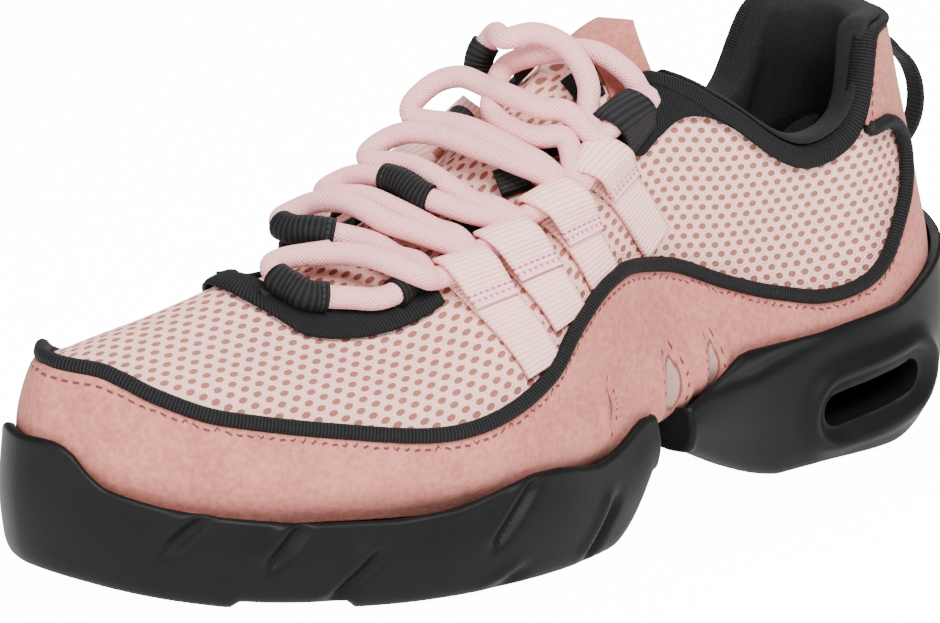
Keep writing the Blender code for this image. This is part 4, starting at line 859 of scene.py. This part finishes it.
def webbing_piece(name, line, profile, width, skew, finish, node):
    """Webbing along a path and a profile of runs and heights, its UV map across and along it."""
    place, length = track(line)
    profile = np.array(profile)
    reach = lengths(np.column_stack([profile, np.zeros(len(profile))]))
    fine = cubic(reach, profile, np.linspace(0, reach[-1], max(8, int(reach[-1] / 0.0006))))
    run, height = fine[:, :1], fine[:, 1:]
    share = np.linspace(-0.5, 0.5, 13)[None]
    lean = skew * (1 - np.maximum(run, 0) / length)
    points = place(run + lean * width * share, width * share, height)
    along = np.linspace(reach[-1], 0, len(fine))[:, None]
    flat = np.stack(np.broadcast_arrays(share * width, along), -1)
    piece = laid_cloth(name, points, flat)
    give_wall(piece, WEBBING, 0)
    declared(piece, node, finish)


def grosgrain(name, dark, light, thread, stitch_at, spec):
    """Grosgrain tape: ribs across it, firm edges, and rows of coloured stitches near the fold."""
    made, start, shader = new_finish(name)
    x, y = flat_cut(start)
    rib = (y * (2 * math.pi / 1.15)).sine() * 0.5 + 0.5
    fuzz = speckle(start, 1500.0, 3.0)
    edge = (x.absolute()).between(4.4, 5.0)
    rows = sum(y.around(at, 0.25, 0.45) for at in stitch_at)
    dash = (x / 1.5).fraction().around(0.5, 0.22, 0.34)
    stitches = (rows * dash).math("MINIMUM", 1.0)
    tone = (rib * 0.6 + fuzz * 0.5 - edge * 0.2).between(0.0, 0.9)
    bump = start.node("ShaderNodeBump", {"Height": rib * 0.8 + fuzz * 0.3 + edge * 0.4 - rows * 0.4,
                                         "Distance": 0.0003, "Strength": 0.8})
    wire(start, shader, {"Base Color": stitches.mixed(tone.mixed(dark, light), thread), "Roughness": 0.7,
                         "Normal": bump, "Specular IOR Level": spec})
    return made


pink_tape = grosgrain("pink_webbing", (0.86, 0.40, 0.36, 1), (1.0, 0.64, 0.59, 1), (0.60, 0.10, 0.28, 1),
                     (1.6, 3.4), 0.15)
loop_tape = grosgrain("black_loop", (0.003, 0.003, 0.0035, 1), (0.015, 0.015, 0.016, 1), (0.02, 0.02, 0.02, 1),
                     (1.6,), 0.15)
for number, row in enumerate(STRAPS):
    for medial in (False, True):
        line = strap_line(row, medial)
        length = track(line)[1]
        flat_run = [(run, FLAT) for run in np.linspace(length + 0.0035, 0.0055, 3 + int(length / 0.012))]
        node = f"strap_{'inner' if medial else 'outer'}_{number + 1}"
        webbing_piece(node + "_tape", line, flat_run + list(FOLD), STRAP_WIDTH,
                      -FOLD_SKEW if medial else FOLD_SKEW, pink_tape, node)
loop_line = strap_line(TOP_LOOP, False)
loop_length = track(loop_line)[1]
loop_profile = [(run, FLAT + TOP_LOOP_BASE) for run in np.linspace(loop_length, 0.0055, 3)]
loop_profile += [(run * (0.75 if run > 0.003 else 1), height + TOP_LOOP_BASE) for run, height in FOLD]
webbing_piece("top_loop_tape", loop_line, loop_profile, STRAP_WIDTH, FOLD_SKEW, loop_tape,
              "top_loop")

# Tabs and pull loop. Short black loops that stand in the far bends of the lace, flat ones at
# the near side, and a loop of narrow webbing behind the heel.
FAR_TABS = ((15.98, 0.88, 15.98, 0.955), (16.52, 0.89, 16.52, 0.985), (17.02, 0.88, 17.02, 0.975),
            (17.62, 0.86, 17.62, 0.955), (18.38, 0.80, 18.38, 0.93))
NEAR_TABS = ((6.92, 0.770, 6.86, 0.83), (6.46, 0.755, 6.42, 0.815), (6.06, 0.745, 6.02, 0.79))
FAR_TAB, NEAR_TAB = (-0.0035, 0.0034, 0.0080), (-0.0034, 0.0010, 0.0078)     # underside, top and width
LOOP_ROOT, LOOP_FOOT = 86.0, 50.8
LOOP_POINTS = ((1.35, 82.4), (0.2, 80.0), (-1.4, 76.8), (-2.6, 72.4), (-3.05, 67.4),
               (-2.65, 62.7), (-1.5, 59.1), (-0.2, 57.0), (0.45, 54.8))
LOOP_WIDTH = 0.0055


def doubled_tab(name, row, low, high, width, node):
    """A doubled tab: the tape goes out over the tongue, turns round and comes back."""
    line = [(row[0] + t * (row[2] - row[0]), row[1] + t * (row[3] - row[1])) for t in (0, 0.5, 1)]
    length = track(line)[1]
    middle, half = (low + high) / 2, (high - low) / 2 - WEBBING / 2
    turn = [(length - half + half * math.cos(a), middle + half * math.sin(a)) for a in np.linspace(-1.5, 1.5, 9)]
    profile = [(0.0, middle - half * 0.5), (length * 0.4, middle - half)] + turn + \
        [(length * 0.4, middle + half), (0.0, middle + half * 0.5)]
    webbing_piece(name, line, profile, width, 0.0, loop_tape, node)


for number, row in enumerate(FAR_TABS):
    doubled_tab(f"far_loop_{number + 1}", row, *FAR_TAB, f"far_tab_{number + 1}")
for number, row in enumerate(NEAR_TABS):
    doubled_tab(f"near_loop_{number + 1}", row, *NEAR_TAB, f"near_tab_{number + 1}")

loop_way = [skin(0, rise_at(0, LOOP_ROOT * PER_HEIGHT), 2 * LIFT + SUEDE + WEBBING / 2)]
loop_way += [np.array([x * PER_LENGTH - LENGTH / 2, -2.5 * PER_WIDTH, z * PER_HEIGHT]) for x, z in LOOP_POINTS]
loop_way += [skin(0, rise_at(0, LOOP_FOOT * PER_HEIGHT), 2 * LIFT + SUEDE + WEBBING / 2)]
loop_way = np.array(loop_way)
loop_reach = lengths(loop_way)
loop_fine = cubic(loop_reach, loop_way, np.linspace(0, loop_reach[-1], 90))
loop_share = np.linspace(-0.5, 0.5, 9)
loop_points = loop_fine[:, None] + loop_share[None, :, None] * np.array([0, LOOP_WIDTH, 0])
loop_flat = np.stack(np.broadcast_arrays(loop_share[None] * LOOP_WIDTH, lengths(loop_fine)[:, None]), -1)
pull_loop = laid_cloth("heel_pull_loop", loop_points, loop_flat)
give_wall(pull_loop, WEBBING, 0)
declared(pull_loop, "pull_loop", loop_tape)

# Tongue patch and label. A suede end that covers the top of the tongue, and under the lace a
# woven label that is left plain.
for name, low_s, high_s, low_r, high_r, lift, thickness, finish, node in (
        ("plain_label", 5.32, 5.62, 0.80, 0.93, -(WALL + 2 * LIFT) + GAP, 0.0008, knit_tape, "tongue_label"),
        ("tongue_end", 4.72, 5.28, 0.60, 1.0, -(WALL + 2 * LIFT) + 0.0002, 0.0009, suede_finish, None)):
    patch_s, patch_r = np.linspace(low_s, high_s, 20), np.linspace(low_r, high_r, 20)
    grid_s, grid_r = np.meshgrid(patch_s, patch_r, indexing="ij")
    if node is None:
        grid_s = np.concatenate([grid_s, RING - grid_s[:, -2::-1]], 1)
        grid_r = np.concatenate([grid_r, grid_r[:, -2::-1]], 1)
    patch_points = skin(grid_s, grid_r, lift)
    patch_flat = np.stack([patch_points[..., 0], patch_points[..., 1] + 0.05], -1)
    patch = laid_cloth(name, patch_points, patch_flat)
    give_wall(patch, thickness, 1)
    declared(patch, node, finish)

# Laces. One braided cord, laced from the toe up through the folds and round the far loops. Its
# routes are stations, rises and heights in millimetres over the skin.
ROUTES = {
    "toe_bar": ((7.62, 0.79, 1.5), (7.72, 0.785, 3.5), (7.85, 0.78, 5), (8.03, 0.79, 5), (8.20, 0.81, 5),
                (8.32, 0.82, 5), (8.45, 0.83, 5.2), (8.57, 0.84, 5.4), (8.65, 0.87, 5.4),
                (8.70, 0.90, 5.4), (8.65, 0.94, 5.2), (8.50, 0.94, 5), (8.32, 0.93, 4.6), (8.12, 0.915, 4.4)),
    "first": ((8.32, 0.93, 4.4), (8.07, 0.90, 4.8), (7.93, 0.87, 6.5), (7.80, 0.83, 8.5), (7.68, 0.79, 9),
              (7.55, 0.755, 7.5)),
    "second": ((7.50, 0.80, 4.6), (7.62, 0.84, 3), (7.70, 0.88, 3), (7.80, 0.91, 3), (7.95, 0.94, 4),
               (8.10, 0.97, 5), (15.80, 1.0, 5), (15.80, 0.96, 6.5), (15.88, 0.94, 7.5), (16.02, 0.93, 7.5),
               (16.17, 0.94, 7.0), (16.25, 0.97, 6), (7.67, 0.99, 5), (7.62, 0.95, 5), (7.55, 0.90, 5.2),
               (7.42, 0.86, 5.2), (7.27, 0.81, 5.2), (7.15, 0.765, 5.2)),
    "third": ((7.10, 0.78, 5.6), (7.20, 0.82, 4.4), (7.30, 0.87, 4), (7.40, 0.92, 4), (7.50, 0.99, 4),
              (16.37, 0.97, 5.5), (16.36, 0.94, 7), (16.42, 0.92, 8), (16.52, 0.915, 8), (16.64, 0.92, 7.5),
              (16.72, 0.95, 6), (7.22, 1.0, 4), (7.18, 0.96, 4), (7.13, 0.90, 4), (7.02, 0.85, 4.4),
              (6.88, 0.79, 5), (6.76, 0.745, 5.2)),
    "fourth": ((6.70, 0.755, 5.4), (6.80, 0.80, 4.4), (6.88, 0.86, 4), (6.95, 0.93, 4), (7.00, 0.99, 4),
               (16.93, 0.97, 5.5), (16.86, 0.94, 7.5), (16.90, 0.92, 9), (17.02, 0.915, 9.5), (17.16, 0.92, 9),
               (17.26, 0.95, 7.5), (17.34, 0.99, 5), (6.60, 0.95, 4), (6.55, 0.90, 4), (6.45, 0.83, 4.4),
               (6.35, 0.76, 5.2), (6.28, 0.72, 5.2)),
    "fifth": ((6.24, 0.735, 5.4), (6.30, 0.78, 5), (6.38, 0.85, 5), (6.47, 0.94, 5), (6.52, 1.0, 5),
              (17.42, 0.95, 7), (17.40, 0.92, 9.5), (17.48, 0.90, 11), (17.62, 0.895, 11.5), (17.76, 0.90, 11),
              (17.86, 0.93, 9), (17.88, 1.0, 6), (6.10, 0.93, 6), (6.05, 0.87, 6), (5.98, 0.82, 6.2),
              (5.86, 0.79, 6.8)),
    "top_return": ((5.12, 0.745, 5.2), (5.14, 0.79, 4.6), (5.20, 0.84, 4), (5.28, 0.89, 4), (5.40, 0.94, 3.4),
                   (5.58, 1.0, 3.2), (18.20, 0.95, 3.2), (17.95, 1.0, 3), (6.22, 0.95, 3), (6.26, 0.89, 3),
                   (6.22, 0.84, 3.4), (6.14, 0.785, 4.4), (5.98, 0.745, 5.2)),
    "top_bar": ((18.10, 0.84, 3.5), (18.20, 0.89, 8.5), (18.33, 0.93, 10.5), (5.75, 1.0, 13), (5.58, 1.0, 11),
                (5.48, 0.94, 8), (5.49, 0.87, 6.6), (5.56, 0.80, 5.8), (5.66, 0.765, 5.4)),
}
ENDS = (("first", -1, 0, 0.0010), ("second", 0, 0, -0.0010), ("second", -1, 1, 0.0010), ("third", 0, 1, -0.0010),
        ("third", -1, 2, 0.0010), ("fourth", 0, 2, -0.0010), ("fourth", -1, 3, 0.0020), ("fifth", 0, 3, 0.0004),
        ("top_return", -1, 3, -0.0012), ("fifth", -1, 4, 0.0010), ("top_bar", -1, 4, -0.0010))
MOUTH = STRAP_WIDTH / 2 + 0.0012


def braid(name, dark, light):
    """Round braided cord: a herringbone of small plaits."""
    made, start, shader = new_finish(name)
    x, y = flat_cut(start)
    round_it = 14 / (LACE_RADIUS * 1000)
    one = (y * (2 * math.pi / 1.1) + x * round_it).sine()
    other = (y * (2 * math.pi / 1.1) - x * round_it).sine()
    plait = one.math("MAXIMUM", other)
    fuzz = speckle(start, 1600.0, 3.0)
    tone = (plait * 0.22 + fuzz * 0.45 + 0.3).between(0.0, 1.0)
    bump = start.node("ShaderNodeBump", {"Height": plait + fuzz * 0.35, "Distance": 0.00022, "Strength": 0.6})
    wire(start, shader, {"Base Color": tone.mixed(dark, light), "Roughness": 0.75, "Normal": bump,
                         "Sheen Weight": 0.04, "Specular IOR Level": 0.12})
    return made


lace_braid = braid("pink_lace", (0.74, 0.30, 0.31, 1), (1.0, 0.50, 0.50, 1))
folds = [track(strap_line(row, False))[:2] for row in (*STRAPS, TOP_LOOP)]
fold_heights = [LACE_HEIGHT] * len(STRAPS) + [LACE_HEIGHT + TOP_LOOP_BASE]


def held(fold, sides):
    """Points that lead a strand through a fold."""
    place, length = folds[fold]
    lean = FOLD_SKEW * (1 - LACE_RUN / length)
    return [place(LACE_RUN + lean * side, side, fold_heights[fold]) for side in sides]


routes = {name: [skin(q, v, h / 1000) for q, v, h in route] for name, route in ROUTES.items()}
for name, end, fold, across in ENDS:
    through = held(fold, (across, -MOUTH / 2, -MOUTH, -MOUTH - 0.0018))
    routes[name] = through + routes[name] if end == 0 else routes[name] + through[::-1]
routes["top_return"] = held(4, (-0.0004, MOUTH / 2, MOUTH, MOUTH + 0.0015)) + routes["top_return"]
strands = []
for name, points in routes.items():
    points = np.array(points)
    reach = lengths(points)
    smooth = cubic(reach, points, np.linspace(0, reach[-1], int(reach[-1] / 0.001)))
    for _ in range(3):
        smooth[1:-1] = 0.25 * smooth[:-2] + 0.5 * smooth[1:-1] + 0.25 * smooth[2:]
    strands.append(cord_piece(f"strand_{name}", smooth, LACE_RADIUS, lace_braid, across=20, spacing=0.0007))

# Black loops round the lace: short sleeves of the loop tape where the cord passes through one,
# on a strand's route from one share of its length to another.
SLEEVES = (("toe_bar", 0.42, 0.66), ("toe_bar", 0.0, 0.13), ("second", 0.30, 0.42), ("third", 0.60, 0.72),
           ("top_bar", 0.0, 0.14))
for name, begin, end in SLEEVES:
    way = np.array(routes[name])
    reach = lengths(way)
    part = cubic(reach, way, np.linspace(begin * reach[-1], end * reach[-1], 24))
    sleeve = cord_piece(f"loop_round_{name}_{int(100 * begin)}", part, LACE_RADIUS + WEBBING * 0.75, loop_tape,
                        across=28, spacing=0.0007)

bpy.ops.object.select_all(action="DESELECT")
for strand in strands:
    strand.select_set(True)
bpy.context.view_layer.objects.active = strands[0]
bpy.ops.object.join()
lace = bpy.context.object
lace.name = lace.data.name = "lace_cord"
declared(lace, "lace")

# Camera, light and floor. A key, a fill and a back light round the shoe, and a floor that is
# white to the camera and only faintly bright to the shoe.


def studio_light(name, place, aim, size, power):
    data = bpy.data.lights.new(name, "AREA")
    data.shape = "DISK"
    data.size = size
    data.energy = power
    lamp = bpy.data.objects.new(name, data)
    bpy.context.scene.collection.objects.link(lamp)
    lamp.location = place
    lamp.rotation_euler = (Vector(aim) - Vector(place)).to_track_quat("-Z", "Y").to_euler()
    return lamp


studio_light("key", (0.30, 0.75, 0.95), (0, 0, 0.04), 0.6, 29.0)
studio_light("fill", (0.95, 0.20, 0.45), (0, 0, 0.04), 0.8, 6.0)
studio_light("back", (-0.55, -0.45, 0.80), (0, 0, 0.06), 0.6, 9.0)

bpy.ops.object.select_all(action="DESELECT")
bpy.ops.mesh.primitive_plane_add(size=14, location=(0, 0, -0.0002))
floor = bpy.context.object
floor.name = "pale_floor"
floor_finish, floor_start, floor_shader = new_finish("pale_floor")
wire(floor_start, floor_shader, {"Base Color": (0.9, 0.9, 0.9, 1), "Roughness": 1.0, "Specular IOR Level": 0.0,
                                 "Emission Color": (1, 1, 1, 1),
                                 "Emission Strength": floor_start.node("ShaderNodeLightPath", {}) * 13.0 + 0.7})
floor.data.materials.append(floor_finish)

world = bpy.data.worlds.new("studio_air")
bpy.context.scene.world = world
world.use_nodes = True
world.node_tree.nodes["Background"].inputs["Color"].default_value = (1.0, 1.0, 1.0, 1)
world.node_tree.nodes["Background"].inputs["Strength"].default_value = 0.42

VIEW_SIDE, VIEW_RISE, VIEW_FAR = math.radians(39.3), math.radians(17.4), 1.150
AIM = (0.008, -0.0035, 0.050)
SENSOR, PIXELS_PER_MM, PICTURE_WIDTH = 36, 4.057, 940
toward_camera = Vector((math.sin(VIEW_SIDE) * math.cos(VIEW_RISE), math.cos(VIEW_SIDE) * math.cos(VIEW_RISE),
                        math.sin(VIEW_RISE)))
camera_data = bpy.data.cameras.new("camera")
camera = bpy.data.objects.new("camera", camera_data)
bpy.context.scene.collection.objects.link(camera)
camera.location = Vector(SHIFT + AIM) + VIEW_FAR * toward_camera
camera.rotation_euler = (-toward_camera).to_track_quat("-Z", "Y").to_euler()
camera_data.lens = SENSOR * PIXELS_PER_MM * VIEW_FAR * 1000 / PICTURE_WIDTH
camera_data.sensor_width = SENSOR
bpy.context.scene.camera = camera
